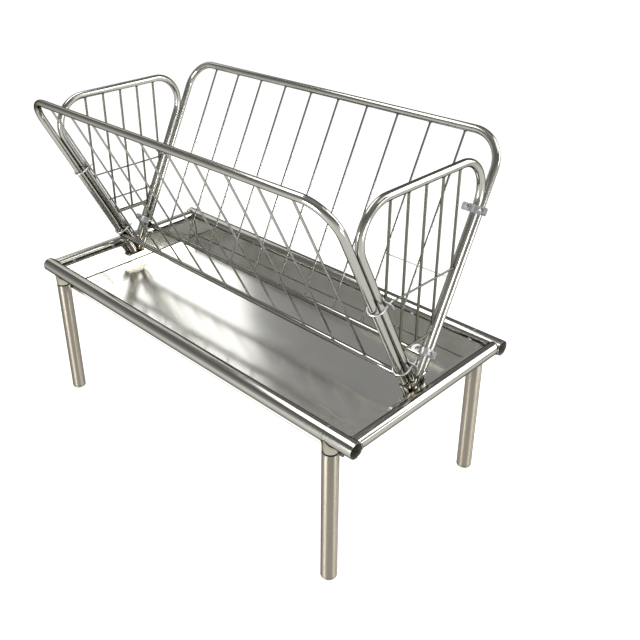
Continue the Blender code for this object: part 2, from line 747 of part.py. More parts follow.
def build_clamps(slides, zinc):
    """Two clamps at each corner of the rack, each with a bolt, a saddle and two nuts.

    The lower ones are carried by the side panels' slides.
    """
    seat = END_TUBE_INWARD + SADDLE_WING_RISE + SADDLE_SHEET + GAP
    thread_end = seat + NUT_HEIGHT + THREAD_SHOWING
    half_width = SADDLE_WIDTH / 2
    uppers = {}
    for corner, above_wire in UPPER_CLAMP_ABOVE_WIRE.items():
        uppers[corner] = UPPER_WIRE_DOWN - above_wire - half_width
    for corner, below_bend in UPPER_CLAMP_BELOW_BEND.items():
        uppers[corner] = END_BEND_DOWN + below_bend + half_width
    for (side_name, end_name), upper_down in uppers.items():
        side = SIDES[side_name]
        x = ENDS[end_name] * RACK_X
        for level, down in (("upper", upper_down), ("lower", LOWER_CLAMP_DOWN)):
            place = f"{side_name}_{end_name}_{level}"
            pieces = [
                build_bolt(f"clamp_bolt_{place}", side, x, down, thread_end, zinc),
                build_saddle(f"clamp_saddle_{place}", side, x, down, zinc),
                build_nut(f"clamp_nut_{place}_a", side, x, down, -BOLT_SPREAD / 2, seat, zinc),
                build_nut(f"clamp_nut_{place}_b", side, x, down, BOLT_SPREAD / 2, seat, zinc),
            ]
            if level == "lower":
                for piece in pieces:
                    carry(slides[side_name], piece)


def main():
    """Build the whole feeder."""
    clear_scene()
    polished = make_material("polished_stainless", (0.62, 0.61, 0.59), 0.16)
    satin = make_material("satin_stainless", (0.55, 0.52, 0.47), 0.32)
    sheet = make_material("sheet_stainless", (0.66, 0.66, 0.64), 0.28)
    wire = make_material("wire_stainless", (0.50, 0.50, 0.46), 0.24)
    zinc = make_material("zinc_plate", (0.70, 0.71, 0.72), 0.34)
    build_base(polished)
    build_legs(satin)
    build_tray(sheet)
    build_feet(sheet, polished)
    slides = build_side_panels(polished, wire)
    build_end_panels(polished, wire)
    build_clamps(slides, zinc)


main()
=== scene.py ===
"""Looks of the stainless steel hay feeder: fine meshes, steel finishes, a pale studio, the camera.

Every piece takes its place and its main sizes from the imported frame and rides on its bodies. The
small sizes that the frame doesn't give, such as bend radii of edges and weld beads, are fields of
the classes below. All lengths are in metres.
"""

from __future__ import annotations

import json
import logging
import math
from dataclasses import dataclass, field
from enum import Enum
from functools import cache, cached_property
from typing import Callable

import bmesh
import bpy
from mathutils import Matrix, Vector, noise


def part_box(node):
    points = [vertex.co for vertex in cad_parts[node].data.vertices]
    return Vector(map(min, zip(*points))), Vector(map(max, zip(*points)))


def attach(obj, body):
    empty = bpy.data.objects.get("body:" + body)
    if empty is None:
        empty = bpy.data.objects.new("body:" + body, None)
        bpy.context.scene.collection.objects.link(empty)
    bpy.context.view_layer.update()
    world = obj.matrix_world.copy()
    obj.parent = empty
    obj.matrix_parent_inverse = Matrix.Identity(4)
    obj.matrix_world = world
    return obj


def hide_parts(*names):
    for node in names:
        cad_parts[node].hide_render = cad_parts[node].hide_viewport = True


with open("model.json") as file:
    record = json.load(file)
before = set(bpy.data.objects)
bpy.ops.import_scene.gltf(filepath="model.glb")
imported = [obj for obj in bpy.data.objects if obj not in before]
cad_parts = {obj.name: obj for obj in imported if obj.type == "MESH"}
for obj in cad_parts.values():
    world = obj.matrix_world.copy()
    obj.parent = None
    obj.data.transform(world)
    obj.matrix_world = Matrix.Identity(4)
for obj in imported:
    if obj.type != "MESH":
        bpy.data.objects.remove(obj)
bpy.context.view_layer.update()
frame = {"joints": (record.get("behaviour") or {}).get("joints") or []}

log = logging.getLogger("hay_feeder")

Pair = tuple[float, float]
Triple = tuple[float, float, float]
Axes = tuple[Vector, Vector]

AXIS_X = Vector((1.0, 0.0, 0.0))
AXIS_Y = Vector((0.0, 1.0, 0.0))
AXIS_Z = Vector((0.0, 0.0, 1.0))
FULL_TURN = 2.0 * math.pi
# Heat value that marks painted shade: a near-black, dull line in a joint, groove or fold.
PAINTED_SHADE = -1.0
WELD_TINT = 0.6
TINT_REACH = 0.012
BEAD_SIDES = 8
BEAD_RIPPLE = 0.16
BEAD_RIPPLE_PITCH = 1.1
BEAD_SWELL = 0.22
BEAD_SWELL_PITCH = 5
BEAD_END = 0.35
WHITE = (1.0, 1.0, 1.0, 1.0)


class Way(Enum):
    """A direction on the feeder, with the sign of its axis as its value."""

    @property
    def label(self) -> str:
        """Word used in the names of nodes and pieces."""
        return self.name.lower()


class Side(Way):
    """The two long sides of the feeder, with the sign of Y on each."""

    FRONT = -1
    REAR = 1


class End(Way):
    """The two short ends of the feeder, with the sign of X on each."""

    LEFT = -1
    RIGHT = 1


class Level(Way):
    """The two clamps at a corner of the rack, with the sign of Z from their middle."""

    UPPER = 1
    LOWER = -1


@dataclass(frozen=True)
class Measures:
    """Main sizes and places of the feeder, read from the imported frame."""

    rail_radius: float
    rail_y: float
    rail_z: float
    rail_end_x: float
    end_rail_radius: float
    end_rail_x: float
    leg_x: float
    leg_top: float
    stub_bottom: float
    tray_floor: float
    tray_half_width: float
    tray_edge_x: float
    plate_inner_x: float
    plate_outer_x: float
    plate_half_width: float
    plate_top: float
    plate_bottom: float
    socket_radius: float
    rack_radius: float
    rack_x: float
    rack_top_y: float
    rack_top_z: float
    end_top_z: float
    lean: float

    @classmethod
    def from_frame(cls) -> Measures:
        """Read the sizes off the boxes of the CAD nodes and the slope off a side panel's joint.

        Returns:
            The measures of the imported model.
        """
        rail_low, rail_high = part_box("long_rail_rear")
        end_low, end_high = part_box("end_rail_right")
        leg_low, leg_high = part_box("leg_rear_right")
        tray_low, tray_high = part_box("tray")
        plate_low, plate_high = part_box("foot_plate_right")
        socket_low, socket_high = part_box("socket_rear_right")
        loop_low, loop_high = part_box("end_frame_right")
        panel_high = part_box("side_frame_rear")[1]
        rack_radius = (loop_high.x - loop_low.x) / 2
        slope = next(j["axis"] for j in frame["joints"] if j["name"] == "side_panel_slide_rear")
        return cls(
            rail_radius=(rail_high.z - rail_low.z) / 2,
            rail_y=(rail_high.y + rail_low.y) / 2,
            rail_z=(rail_high.z + rail_low.z) / 2,
            rail_end_x=rail_high.x,
            end_rail_radius=(end_high.x - end_low.x) / 2,
            end_rail_x=(end_high.x + end_low.x) / 2,
            leg_x=(leg_high.x + leg_low.x) / 2,
            leg_top=leg_high.z,
            stub_bottom=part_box("leg_stub_rear_right")[0].z,
            tray_floor=tray_low.z,
            tray_half_width=tray_high.y,
            tray_edge_x=tray_high.x,
            plate_inner_x=plate_low.x,
            plate_outer_x=plate_high.x,
            plate_half_width=plate_high.y,
            plate_top=plate_high.z,
            plate_bottom=plate_low.z,
            socket_radius=(socket_high.x - socket_low.x) / 2,
            rack_radius=rack_radius,
            rack_x=(loop_high.x + loop_low.x) / 2,
            rack_top_y=panel_high.y - rack_radius,
            rack_top_z=panel_high.z - rack_radius,
            end_top_z=loop_high.z - rack_radius,
            lean=math.atan2(slope[1], slope[2]),
        )


M = Measures.from_frame()
LEAN_SIN = math.sin(M.lean)
LEAN_COS = math.cos(M.lean)


def on_panel(side: Side, x: float, down: float, inward: float = 0.0) -> Vector:
    """Point of the rack, given along the slope of a side panel.

    Args:
        side: The side panel.
        x: Place along the feeder.
        down: Distance down the slope from the axis of the panel's top tube.
        inward: Distance at right angles to the panel, into the rack.

    Returns:
        The point in the world.
    """
    y = M.rack_top_y - down * LEAN_SIN - inward * LEAN_COS
    z = M.rack_top_z - down * LEAN_COS + inward * LEAN_SIN
    return Vector((x, side.value * y, z))


def panel_inward(side: Side) -> Vector:
    """Unit vector at right angles to a side panel, into the rack."""
    return Vector((0.0, -side.value * LEAN_COS, LEAN_SIN))


def panel_down(side: Side) -> Vector:
    """Unit vector down the slope of a side panel."""
    return Vector((0.0, -side.value * LEAN_SIN, -LEAN_COS))


def down_at(height: float, inward: float = 0.0) -> float:
    """Distance down the slope at which a line beside a side panel passes a height."""
    return (M.rack_top_z + inward * LEAN_SIN - height) / LEAN_COS


def shares(count: int) -> list[float]:
    """Equal steps from 0 to 1."""
    return [k / count for k in range(count + 1)]


def round_steps(count: int) -> list[Pair]:
    """Cosine and sine of equal steps once round."""
    angles = [FULL_TURN * k / count for k in range(count)]
    return [(math.cos(angle), math.sin(angle)) for angle in angles]


def straight(start: Vector, end: Vector, count: int) -> list[Vector]:
    """Equally spaced points of a line, with both its ends."""
    return [start + (end - start) * share for share in shares(count)]


def arc(corner: Vector, arrive: Vector, leave: Vector, radius: float, steps: int) -> list[Vector]:
    """Points that round a corner of a path.

    Args:
        corner: The point where the two straight runs would meet.
        arrive: Unit heading before the corner.
        leave: Unit heading after it.
        radius: Radius of the bend.
        steps: Number of stretches along the bend.

    Returns:
        The points from the start of the bend to its end.
    """
    turn = arrive.angle(leave)
    to_centre = (leave - arrive * leave.dot(arrive)).normalized() * radius
    centre = corner - arrive * radius * math.tan(turn / 2) + to_centre
    return [
        centre - to_centre * math.cos(turn * share) + arrive * radius * math.sin(turn * share)
        for share in shares(steps)
    ]


def weld_route(
    centre: Vector,
    axes: Axes,
    reach: float,
    count: int,
    lift: Callable[[float, float], Vector],
) -> list[Vector]:
    """Points once round a rod where it meets a piece; lift shifts each by its two offsets."""
    spots = [(reach * c, reach * s) for c, s in round_steps(count)]
    return [centre + axes[0] * a + axes[1] * b + lift(a, b) for a, b in spots]


@dataclass(frozen=True)
class Axis:
    """Line that a straight piece is built round, with two directions across it."""

    origin: Vector
    heading: Vector
    across: Axes

    def at(self, spot: Vector) -> Vector:
        """Place in the world of a point of the straight stock."""
        side, rise = self.across
        return self.origin + self.heading * spot.x + side * spot.y + rise * spot.z


@dataclass
class Ring:
    """One closed loop of points of a form, with its place along the stock."""

    first: int
    count: int
    along: float


def add_object(name: str, data: bpy.types.ID) -> bpy.types.Object:
    """Add an object to the scene.

    Args:
        name: Name of the object.
        data: Its mesh, curve, lamp or camera.

    Returns:
        The object.
    """
    item = bpy.data.objects.new(name, data)
    bpy.context.scene.collection.objects.link(item)
    return item


def evaluated_mesh(item: bpy.types.Object) -> bpy.types.Mesh:
    """Mesh of an object with its modifiers or its curve's thickness applied."""
    graph = bpy.context.evaluated_depsgraph_get()
    return bpy.data.meshes.new_from_object(item.evaluated_get(graph))


def stamp(mesh: bpy.types.Mesh, stock: list[Vector], heat: list[float]) -> None:
    """Give a mesh the attributes that the finishes read.

    Args:
        mesh: The mesh.
        stock: Each point's place in the straight stock.
        heat: Each point's weld heat, or its painted shade where it is below 0.
    """
    places = mesh.attributes.new("stock", "FLOAT_VECTOR", "POINT")
    places.data.foreach_set("vector", [value for point in stock for value in point])
    heats = mesh.attributes.new("heat_and_shade", "FLOAT", "POINT")
    heats.data.foreach_set("value", heat)


@dataclass
class Form:
    """Mesh under construction, with each point's place in the straight stock and its weld heat.

    Heat below 0 is painted shade in a joint, groove or fold.
    """

    name: str
    points: list[Vector] = field(default_factory=list)
    stock: list[Vector] = field(default_factory=list)
    heat: list[float] = field(default_factory=list)
    faces: list[list[int]] = field(default_factory=list)
    laps: list[list[Pair]] = field(default_factory=list)
    inner_faces: set[int] = field(default_factory=set)

    def add_ring(
        self, places: list[Vector], stock: list[Vector], along: float, heat: float = 0.0
    ) -> Ring:
        """Add a loop of points.

        Args:
            places: The points in the world.
            stock: The same points in the straight stock.
            along: Place of the loop along the stock.
            heat: Weld heat at the loop, from 0 to 1, or painted shade below 0.

        Returns:
            The ring, for bridging.
        """
        ring = Ring(len(self.points), len(places), along)
        self.points += places
        self.stock += stock
        self.heat += [heat] * len(places)
        return ring

    def circle(
        self,
        centre: Vector,
        axes: Axes,
        radius: float,
        sides: int,
        along: float,
        heat: float = 0.0,
    ) -> Ring:
        """Add a round loop.

        Args:
            centre: Centre of the loop.
            axes: Two directions in its plane.
            radius: Its radius.
            sides: Number of points.
            along: Place of the loop along the stock.
            heat: Weld heat at the loop.

        Returns:
            The ring.
        """
        spots = [(radius * c, radius * s) for c, s in round_steps(sides)]
        places = [centre + axes[0] * a + axes[1] * b for a, b in spots]
        return self.add_ring(places, [Vector((along, a, b)) for a, b in spots], along, heat)

    def turned(
        self, axis: Axis, rows: list[Triple], sides: int
    ) -> list[Ring]:
        """Add round loops on one axis.

        Args:
            axis: The axis.
            rows: Place along the axis, radius and heat of each loop.
            sides: Number of points of each.

        Returns:
            The rings in the same order.
        """
        return [
            self.circle(axis.at(Vector((along, 0, 0))), axis.across, radius, sides, along, heat)
            for along, radius, heat in rows
        ]

    def shaped(self, axis: Axis, spots: list[Vector], along: float, heat: float = 0.0) -> Ring:
        """Add a loop of any shape, given in the stock of an axis."""
        return self.add_ring([axis.at(spot) for spot in spots], spots, along, heat)

    def fitted(
        self,
        axis: Axis,
        radius: float,
        sides: int,
        height: Callable[[float], float],
        along: float,
        heat: float,
    ) -> Ring:
        """Add a loop whose places along the axis follow another tube's skin, by a rule."""
        spots = [(radius * c, radius * s) for c, s in round_steps(sides)]
        return self.shaped(axis, [Vector((height(b), a, b)) for a, b in spots], along, heat)

    def bridge(self, a: Ring, b: Ring, inner: bool = False) -> None:
        """Join two rings of equal count with quads.

        Args:
            a: The first ring.
            b: The second ring.
            inner: Whether the quads are part of the inner skin.
        """
        for k in range(a.count):
            if inner:
                self.inner_faces.add(len(self.faces))
            after = (k + 1) % a.count
            self.faces.append([a.first + k, a.first + after, b.first + after, b.first + k])
            low, high = k / a.count, (k + 1) / a.count
            self.laps.append([(low, a.along), (high, a.along), (high, b.along), (low, b.along)])

    def chain(self, rings: list[Ring], inner: bool = False) -> None:
        """Bridge each ring with the next."""
        for a, b in zip(rings, rings[1:]):
            self.bridge(a, b, inner)

    def cap(self, *rings: Ring) -> None:
        """Close each ring with one face.

        Args:
            rings: The rings.
        """
        for ring in rings:
            self.faces.append([ring.first + k for k in range(ring.count)])
            self.laps.append([(0.5 + 0.5 * c, 0.5 + 0.5 * s) for c, s in round_steps(ring.count)])

    def sweep(
        self,
        path: list[Vector],
        across: Vector,
        profile: list[Pair],
        sides: int,
        heat: list[float] | None = None,
    ) -> None:
        """Run a round section along a flat path, as a closed skin.

        Args:
            path: Centre line of the stock.
            across: Normal of the path's plane.
            profile: Radius and inset from the path's end, for each lip ring, from the outer skin on
                round the end. A profile that ends at radius 0 closes the end, otherwise the section
                is a tube and the last radius is that of the bore.
            sides: Points round the section.
            heat: Weld heat at each point of the path.
        """
        headings = [(b - a).normalized() for a, b in zip(path, path[1:])]
        runs = [0.0]
        for a, b in zip(path, path[1:]):
            runs.append(runs[-1] + (b - a).length)
        last = len(path) - 1

        def ring(k: int, radius: float, shift: float = 0.0) -> Ring:
            """Ring at a point of the path.

            Args:
                k: Number of the point.
                radius: Radius of the ring.
                shift: How far it is moved along the heading.

            Returns:
                The ring.
            """
            before, after = headings[max(k - 1, 0)], headings[min(k, last - 1)]
            heading = (before + after).normalized()
            normal = across.cross(heading).normalized() / heading.dot(after)
            centre = path[k] + heading * shift
            tint = heat[k] if heat else 0.0
            return self.circle(centre, (normal, across), radius, sides, runs[k] + shift, tint)

        start = [ring(0, radius, inset) for radius, inset in profile if radius > 0]
        end = [ring(last, radius, -inset) for radius, inset in profile if radius > 0]
        skin = [ring(k, profile[0][0]) for k in range(1, last)]
        self.chain([start[0], *skin, end[0]])
        self.chain(start)
        self.chain(end)
        bore = profile[-1][0]
        if bore > 0:
            inside = [ring(k, bore) for k in range(1, last)]
            self.chain([start[-1], *inside, end[-1]], inner=True)
        else:
            self.cap(start[-1], end[-1])

    def bead(self, route: list[Vector], radius: float, closed: bool, seed: float = 0.0) -> None:
        """Lay a rippled weld bead along a route.

        Args:
            route: Points along the middle of the bead.
            radius: Radius of the bead.
            closed: Whether the route closes on itself.
            seed: Place in the noise that varies the bead.
        """
        count = len(route)
        rings = []
        along = 0.0
        normal = None
        for k, point in enumerate(route):
            before = route[k - 1] if closed or k else point
            after = route[(k + 1) % count] if closed or k < count - 1 else point
            heading = (after - before).normalized()
            normal = normal or heading.orthogonal()
            normal = (normal - heading * normal.dot(heading)).normalized()
            if k:
                along += (point - route[k - 1]).length
            wave = math.sin(math.pi * along / (BEAD_RIPPLE_PITCH * radius))
            chance = noise.noise(Vector((seed, along / radius / BEAD_SWELL_PITCH, 3.7)))
            taper = 1.0 if closed or 0 < k < count - 1 else BEAD_END
            size = radius * (1.0 + BEAD_RIPPLE * abs(wave)) * (1.0 + BEAD_SWELL * chance)
            axes = (normal, heading.cross(normal))
            rings.append(self.circle(point, axes, size * taper, BEAD_SIDES, along, 1.0))
        self.chain(rings)
        if not closed:
            self.cap(rings[0], rings[-1])
            return
        a, b = rings[-1].first, rings[0].first
        reach = [(self.points[a] - self.points[b + k]).length_squared for k in range(BEAD_SIDES)]
        turn = reach.index(min(reach))
        for k in range(BEAD_SIDES):
            after = (k + 1) % BEAD_SIDES
            near, far = b + (k + turn) % BEAD_SIDES, b + (after + turn) % BEAD_SIDES
            self.faces.append([a + k, a + after, far, near])
            self.laps.append([(0, 0), (1, 0), (1, 1), (0, 1)])

    def stain(self, rule: Callable[[Vector], float]) -> None:
        """Set the heat or painted shade of the points by their place, where the rule doesn't give
        0.
        """
        for k, point in enumerate(self.points):
            self.heat[k] = rule(point) or self.heat[k]

    def build(
        self, finish: SteelFinish, smooth_below: float = 35.0, bore: SteelFinish | None = None
    ) -> bpy.types.Object:
        """Make the object, with its stock and heat attributes.

        Args:
            finish: Finish of the form, apart from the inner skin.
            smooth_below: Edges that turn less than this many degrees are shaded smooth.
            bore: Finish of the inner skin, where it differs.

        Returns:
            The new object, linked to the scene.
        """
        mesh = bpy.data.meshes.new(self.name)
        mesh.from_pydata(self.points, [], self.faces)
        if bore:
            picks = [int(k in self.inner_faces) for k in range(len(self.faces))]
            mesh.polygons.foreach_set("material_index", picks)
        lap = mesh.uv_layers.new(name="lap")
        corners = [corner for face in self.laps for corner in face]
        lap.data.foreach_set("uv", [value for corner in corners for value in corner])
        stamp(mesh, self.stock, self.heat)
        work = bmesh.new()
        work.from_mesh(mesh)
        bmesh.ops.recalc_face_normals(work, faces=work.faces)
        work.to_mesh(mesh)
        work.free()
        mesh.shade_smooth()
        mesh.set_sharp_from_angle(angle=math.radians(smooth_below))
        mesh.materials.append(finish.material)
        if bore:
            mesh.materials.append(bore.material)
        return add_object(self.name, mesh)


def lip(radius: float, rounding: float, bore: float = 0.0) -> list[Pair]:
    """Profile of a stock's end with rounded edges, as (radius, inset) from the skin on.

    Args:
        radius: Radius of the stock.
        rounding: Radius of the rounded edge.
        bore: Radius of the bore, or 0 for a solid bar.

    Returns:
        The rings of the end.
    """
    turns = (0.0, math.pi / 4, math.pi / 2)
    edge = [(rounding * (1 - math.cos(t)), rounding * (1 - math.sin(t))) for t in turns]
    rings = [(radius - cut, inset) for cut, inset in edge]
    if not bore:
        return [*rings, (0.0, 0.0)]
    return rings + [(bore + cut, inset) for cut, inset in reversed(edge)]


def rod_path(
    start: Vector, end: Vector, end_tint: float = WELD_TINT
) -> tuple[list[Vector], list[float]]:
    """Straight path with the weld tint close to its ends.

    Args:
        start: First point.
        end: Last point.
        end_tint: Weld heat at the last point.

    Returns:
        The path's points and the heat at each.
    """
    run = end - start
    near = TINT_REACH / run.length
    places = (0.0, near / 2, near, 0.35, 0.65, 1.0 - near, 1.0 - near / 2, 1.0)
    heats = [WELD_TINT, WELD_TINT * 0.4, 0.0, 0.0, 0.0, 0.0, end_tint * 0.4, end_tint]
    return [start + run * share for share in places], heats


def place(item: bpy.types.Object, body: str, slot: str, *nodes: str) -> None:
    """Let a piece ride on a body and stand for its CAD nodes.

    Args:
        item: The piece.
        body: The CAD body that carries it.
        slot: Name of the record's material slot for the piece; not used.
        nodes: The CAD nodes that it replaces.
    """
    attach(item, body)
    if nodes:
        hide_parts(*nodes)
    log.info("%s on %s: %d faces", item.name, body, len(item.data.polygons))


class Nodes:
    """Small helper that adds and joins the nodes of one tree."""

    def __init__(self, tree: bpy.types.NodeTree) -> None:
        """Keep the tree."""
        self.tree = tree

    def add(
        self, kind: str, inputs: dict[str | int, object] | None = None, **settings: object
    ) -> bpy.types.Node:
        """Add a node.

        Args:
            kind: Blender's name of the node type, without its first word.
            inputs: Values or output sockets for its inputs, by name or number.
            settings: Other properties of the node.

        Returns:
            The node.
        """
        node = self.tree.nodes.new(f"ShaderNode{kind}")
        for key, value in settings.items():
            setattr(node, key, value)
        self.feed(node, inputs or {})
        return node

    def feed(self, node: bpy.types.Node, inputs: dict[str | int, object]) -> None:
        """Set or join inputs of a node.

        Args:
            node: The node.
            inputs: Values or output sockets, by the input's name or number.
        """
        for key, value in inputs.items():
            if isinstance(value, bpy.types.NodeSocket):
                self.tree.links.new(value, node.inputs[key])
            else:
                node.inputs[key].default_value = value

    def math(self, operation: str, a: object, b: object = 0.0, c: object = 0.0) -> object:
        """Output of a Math node."""
        return self.add("Math", {0: a, 1: b, 2: c}, operation=operation).outputs[0]

    def scaled(self, colour: object, factor: object) -> object:
        """Output of a colour times a factor."""
        inputs = {0: colour, "Scale": factor}
        return self.add("VectorMath", inputs, operation="SCALE").outputs[0]

    def ramp(self, value: object, stops: list[tuple[float, tuple[float, ...]]]) -> object:
        """Output of a colour ramp.

        Args:
            value: Socket that picks the colour.
            stops: Position and colour of each stop, in order.

        Returns:
            The colour socket.
        """
        node = self.add("ValToRGB", {0: value})
        elements = node.color_ramp.elements
        for element, (position, colour) in zip(elements, (stops[0], stops[-1])):
            element.position, element.color = position, (*colour, 1)
        for position, colour in stops[1:-1]:
            elements.new(position).color = (*colour, 1)
        return node.outputs[0]


def make_group(
    name: str, inputs: dict[str, tuple[str, object]], outputs: dict[str, str]
) -> tuple[Nodes, bpy.types.Node, bpy.types.Node]:
    """Empty shader node group with its sockets.

    Args:
        name: Name of the group.
        inputs: Socket type and default of each input.
        outputs: Socket type of each output.

    Returns:
        The helper for the group's tree, and the tree's input and output nodes.
    """
    tree = bpy.data.node_groups.new(name, "ShaderNodeTree")
    for label, (kind, default) in inputs.items():
        socket = tree.interface.new_socket(label, in_out="INPUT", socket_type=f"NodeSocket{kind}")
        socket.default_value = default
    for label, kind in outputs.items():
        tree.interface.new_socket(label, in_out="OUTPUT", socket_type=f"NodeSocket{kind}")
    return Nodes(tree), tree.nodes.new("NodeGroupInput"), tree.nodes.new("NodeGroupOutput")


@cache
def drawn_lines() -> bpy.types.NodeTree:
    """Fine lines left by drawing or polishing, stretched along or round the stock.

    Returns:
        Group with inputs Place, Along and Round (lines per metre) and outputs Lines and Patches.
    """
    n, source, sink = make_group(
        "drawn_lines",
        {"Place": ("Vector", (0.0, 0.0, 0.0)), "Along": ("Float", 4.0), "Round": ("Float", 900.0)},
        {"Lines": "Float", "Patches": "Float"},
    )
    spot, along, across = (source.outputs[label] for label in ("Place", "Along", "Round"))
    scale = n.add("CombineXYZ", {0: along, 1: across, 2: across}).outputs[0]
    stretched = n.add("VectorMath", {0: spot, 1: scale}, operation="MULTIPLY").outputs[0]
    detail = {"Scale": 1.0, "Detail": 3.0, "Roughness": 0.65}
    fine = n.add("TexNoise", {"Vector": stretched, **detail}).outputs[0]
    broad = n.add("TexNoise", {"Vector": spot, "Scale": 9.0, "Detail": 2.0}).outputs[0]
    n.feed(sink, {"Lines": fine, "Patches": broad})
    return n.tree


@cache
def heat_tint() -> bpy.types.NodeTree:
    """Straw, brown and blue tint beside a weld, and painted shade in joints, grooves and folds
    where the heat is below 0.

    Returns:
        Group with inputs Heat and Steel and outputs Color and the painted shade amount.
    """
    n, source, sink = make_group(
        "heat_tint",
        {"Heat": ("Float", 0.0), "Steel": ("Color", (0.6, 0.6, 0.6, 1.0))},
        {"Color": "Color", "Dirt": "Float"},
    )
    heat, steel = source.outputs["Heat"], source.outputs["Steel"]
    straw, brown, blue = (0.93, 0.86, 0.70), (0.72, 0.60, 0.50), (0.55, 0.55, 0.60)
    tint = n.ramp(heat, [(0.0, (1, 1, 1)), (0.35, straw), (0.62, brown), (0.85, blue)])
    inputs = {0: 1.0, 6: steel, 7: tint}
    mix = n.add("Mix", inputs, data_type="RGBA", blend_type="MULTIPLY").outputs[2]
    # Painted shade: heat below 0 darkens the colour almost to black and takes away the metal.
    shade_level = n.math("MINIMUM", n.math("MAXIMUM", n.math("MULTIPLY", heat, -1.0), 0.0), 1.0)
    kept = n.math("MULTIPLY_ADD", shade_level, -0.93, 1.0)
    n.feed(sink, {"Color": n.scaled(mix, kept), "Dirt": shade_level})
    return n.tree


@dataclass(frozen=True)
class SteelFinish:
    """One steel surface: its colour, how it scatters, and the lines that its making left."""

    name: str
    colour: Triple
    roughness: float
    rough_lines: float
    lines_along: float
    lines_round: float
    relief: float
    edge_tint: Triple = (0.30, 0.28, 0.25)
    anisotropy: float = 0.0
    rim_shade: float = 0.0
    rim_start: float = 0.66
    rim_full: float = 0.94
    shade_variation: float = 0.06

    @cached_property
    def material(self) -> bpy.types.Material:
        """Build the material when it is first asked for.

        Returns:
            The material.
        """
        made = bpy.data.materials.new(self.name)
        made.use_nodes = True
        n = Nodes(made.node_tree)
        stock = n.add("Attribute", attribute_name="stock").outputs["Vector"]
        heat = n.add("Attribute", attribute_name="heat_and_shade").outputs["Fac"]
        inputs = {"Place": stock, "Along": self.lines_along, "Round": self.lines_round}
        lines = n.add("Group", inputs, node_tree=drawn_lines()).outputs
        patches = n.math("SUBTRACT", lines["Patches"], 0.5)
        streaks = n.math("SUBTRACT", lines["Lines"], 0.5)
        level = n.math("MULTIPLY_ADD", patches, self.shade_variation * 2, 1.0)
        level = n.math("MULTIPLY_ADD", streaks, self.shade_variation, level)
        inputs = {"Heat": heat, "Steel": n.scaled(self.colour, level)}
        tint = n.add("Group", inputs, node_tree=heat_tint()).outputs
        colour = tint["Color"]
        # Painted shade: the colour darkens towards the outline, by the Layer Weight facing.
        if self.rim_shade:
            inputs = {
                "Value": n.add("LayerWeight", {"Blend": 0.5}).outputs["Facing"],
                "From Min": self.rim_start,
                "From Max": self.rim_full,
                "To Min": 1.0,
                "To Max": 1.0 - self.rim_shade,
            }
            colour = n.scaled(colour, n.add("MapRange", inputs).outputs[0])
        rough = n.math("MULTIPLY_ADD", streaks, self.rough_lines, self.roughness)
        rough = n.math("MULTIPLY_ADD", patches, self.rough_lines, rough)
        rough = n.math("MULTIPLY_ADD", tint["Dirt"], 0.4, rough)
        inputs = {"Height": lines["Lines"], "Strength": 1.0, "Distance": self.relief}
        inputs = {
            "Base Color": colour,
            "Roughness": n.math("MAXIMUM", rough, 0.02),
            "Normal": n.add("Bump", inputs).outputs[0],
            "Metallic": n.math("SUBTRACT", 1.0, tint["Dirt"]),
            "Specular Tint": (*self.edge_tint, 1.0),
            "Anisotropic": self.anisotropy,
            "Anisotropic Rotation": 0.25,
        }
        if self.anisotropy:
            tangent = n.add("Tangent", direction_type="UV_MAP", uv_map="lap")
            inputs["Tangent"] = tangent.outputs[0]
        n.feed(n.tree.nodes["Principled BSDF"], inputs)
        return made


# Edge tint near black: the reflection darkens towards the outlines, a painted shade.
DARK_EDGE = (0.03, 0.03, 0.025)
POLISHED = SteelFinish(
    "polished_tube", (0.40, 0.392, 0.355), 0.125, 0.06, 60.0, 900.0, relief=3e-6,
    edge_tint=DARK_EDGE, anisotropy=0.6, rim_shade=0.6, rim_start=0.76,
)
SATIN = SteelFinish(
    "satin_leg_tube", (0.355, 0.322, 0.265), 0.46, 0.10, 5.0, 1400.0, relief=6e-6,
    edge_tint=DARK_EDGE, anisotropy=0.93, rim_shade=0.65,
)
SHEET = SteelFinish(
    "mill_sheet", (0.82, 0.812, 0.77), 0.17, 0.04, 2.5, 300.0, relief=1e-6,
    edge_tint=(0.90, 0.90, 0.87),
)
BRIGHT_WIRE = SteelFinish(
    "bright_wire", (0.34, 0.337, 0.305), 0.12, 0.05, 8.0, 1500.0, relief=3e-6,
    edge_tint=DARK_EDGE, rim_shade=0.8, rim_start=0.45,
)
# The end panels' bars: the same wire, rougher, with a darker colour that is painted shade.
SHADED_DULL_WIRE = SteelFinish(
    "shaded_dull_wire", (0.118, 0.119, 0.09), 0.28, 0.10, 8.0, 1500.0, relief=5e-6,
    edge_tint=DARK_EDGE, anisotropy=0.4, rim_shade=0.7, rim_start=0.5,
)
ZINC = SteelFinish(
    "zinc_sheet", (0.52, 0.525, 0.525), 0.36, 0.14, 700.0, 900.0, relief=12e-6,
    edge_tint=DARK_EDGE,
)
BRIGHT_ZINC = SteelFinish(
    "zinc_thread", (0.66, 0.665, 0.66), 0.34, 0.12, 300.0, 900.0, relief=8e-6,
    edge_tint=(0.35, 0.35, 0.34),
)
RAW_BORE = SteelFinish(
    "raw_tube_bore", (0.55, 0.53, 0.48), 0.45, 0.25, 30.0, 500.0, relief=60e-6
)


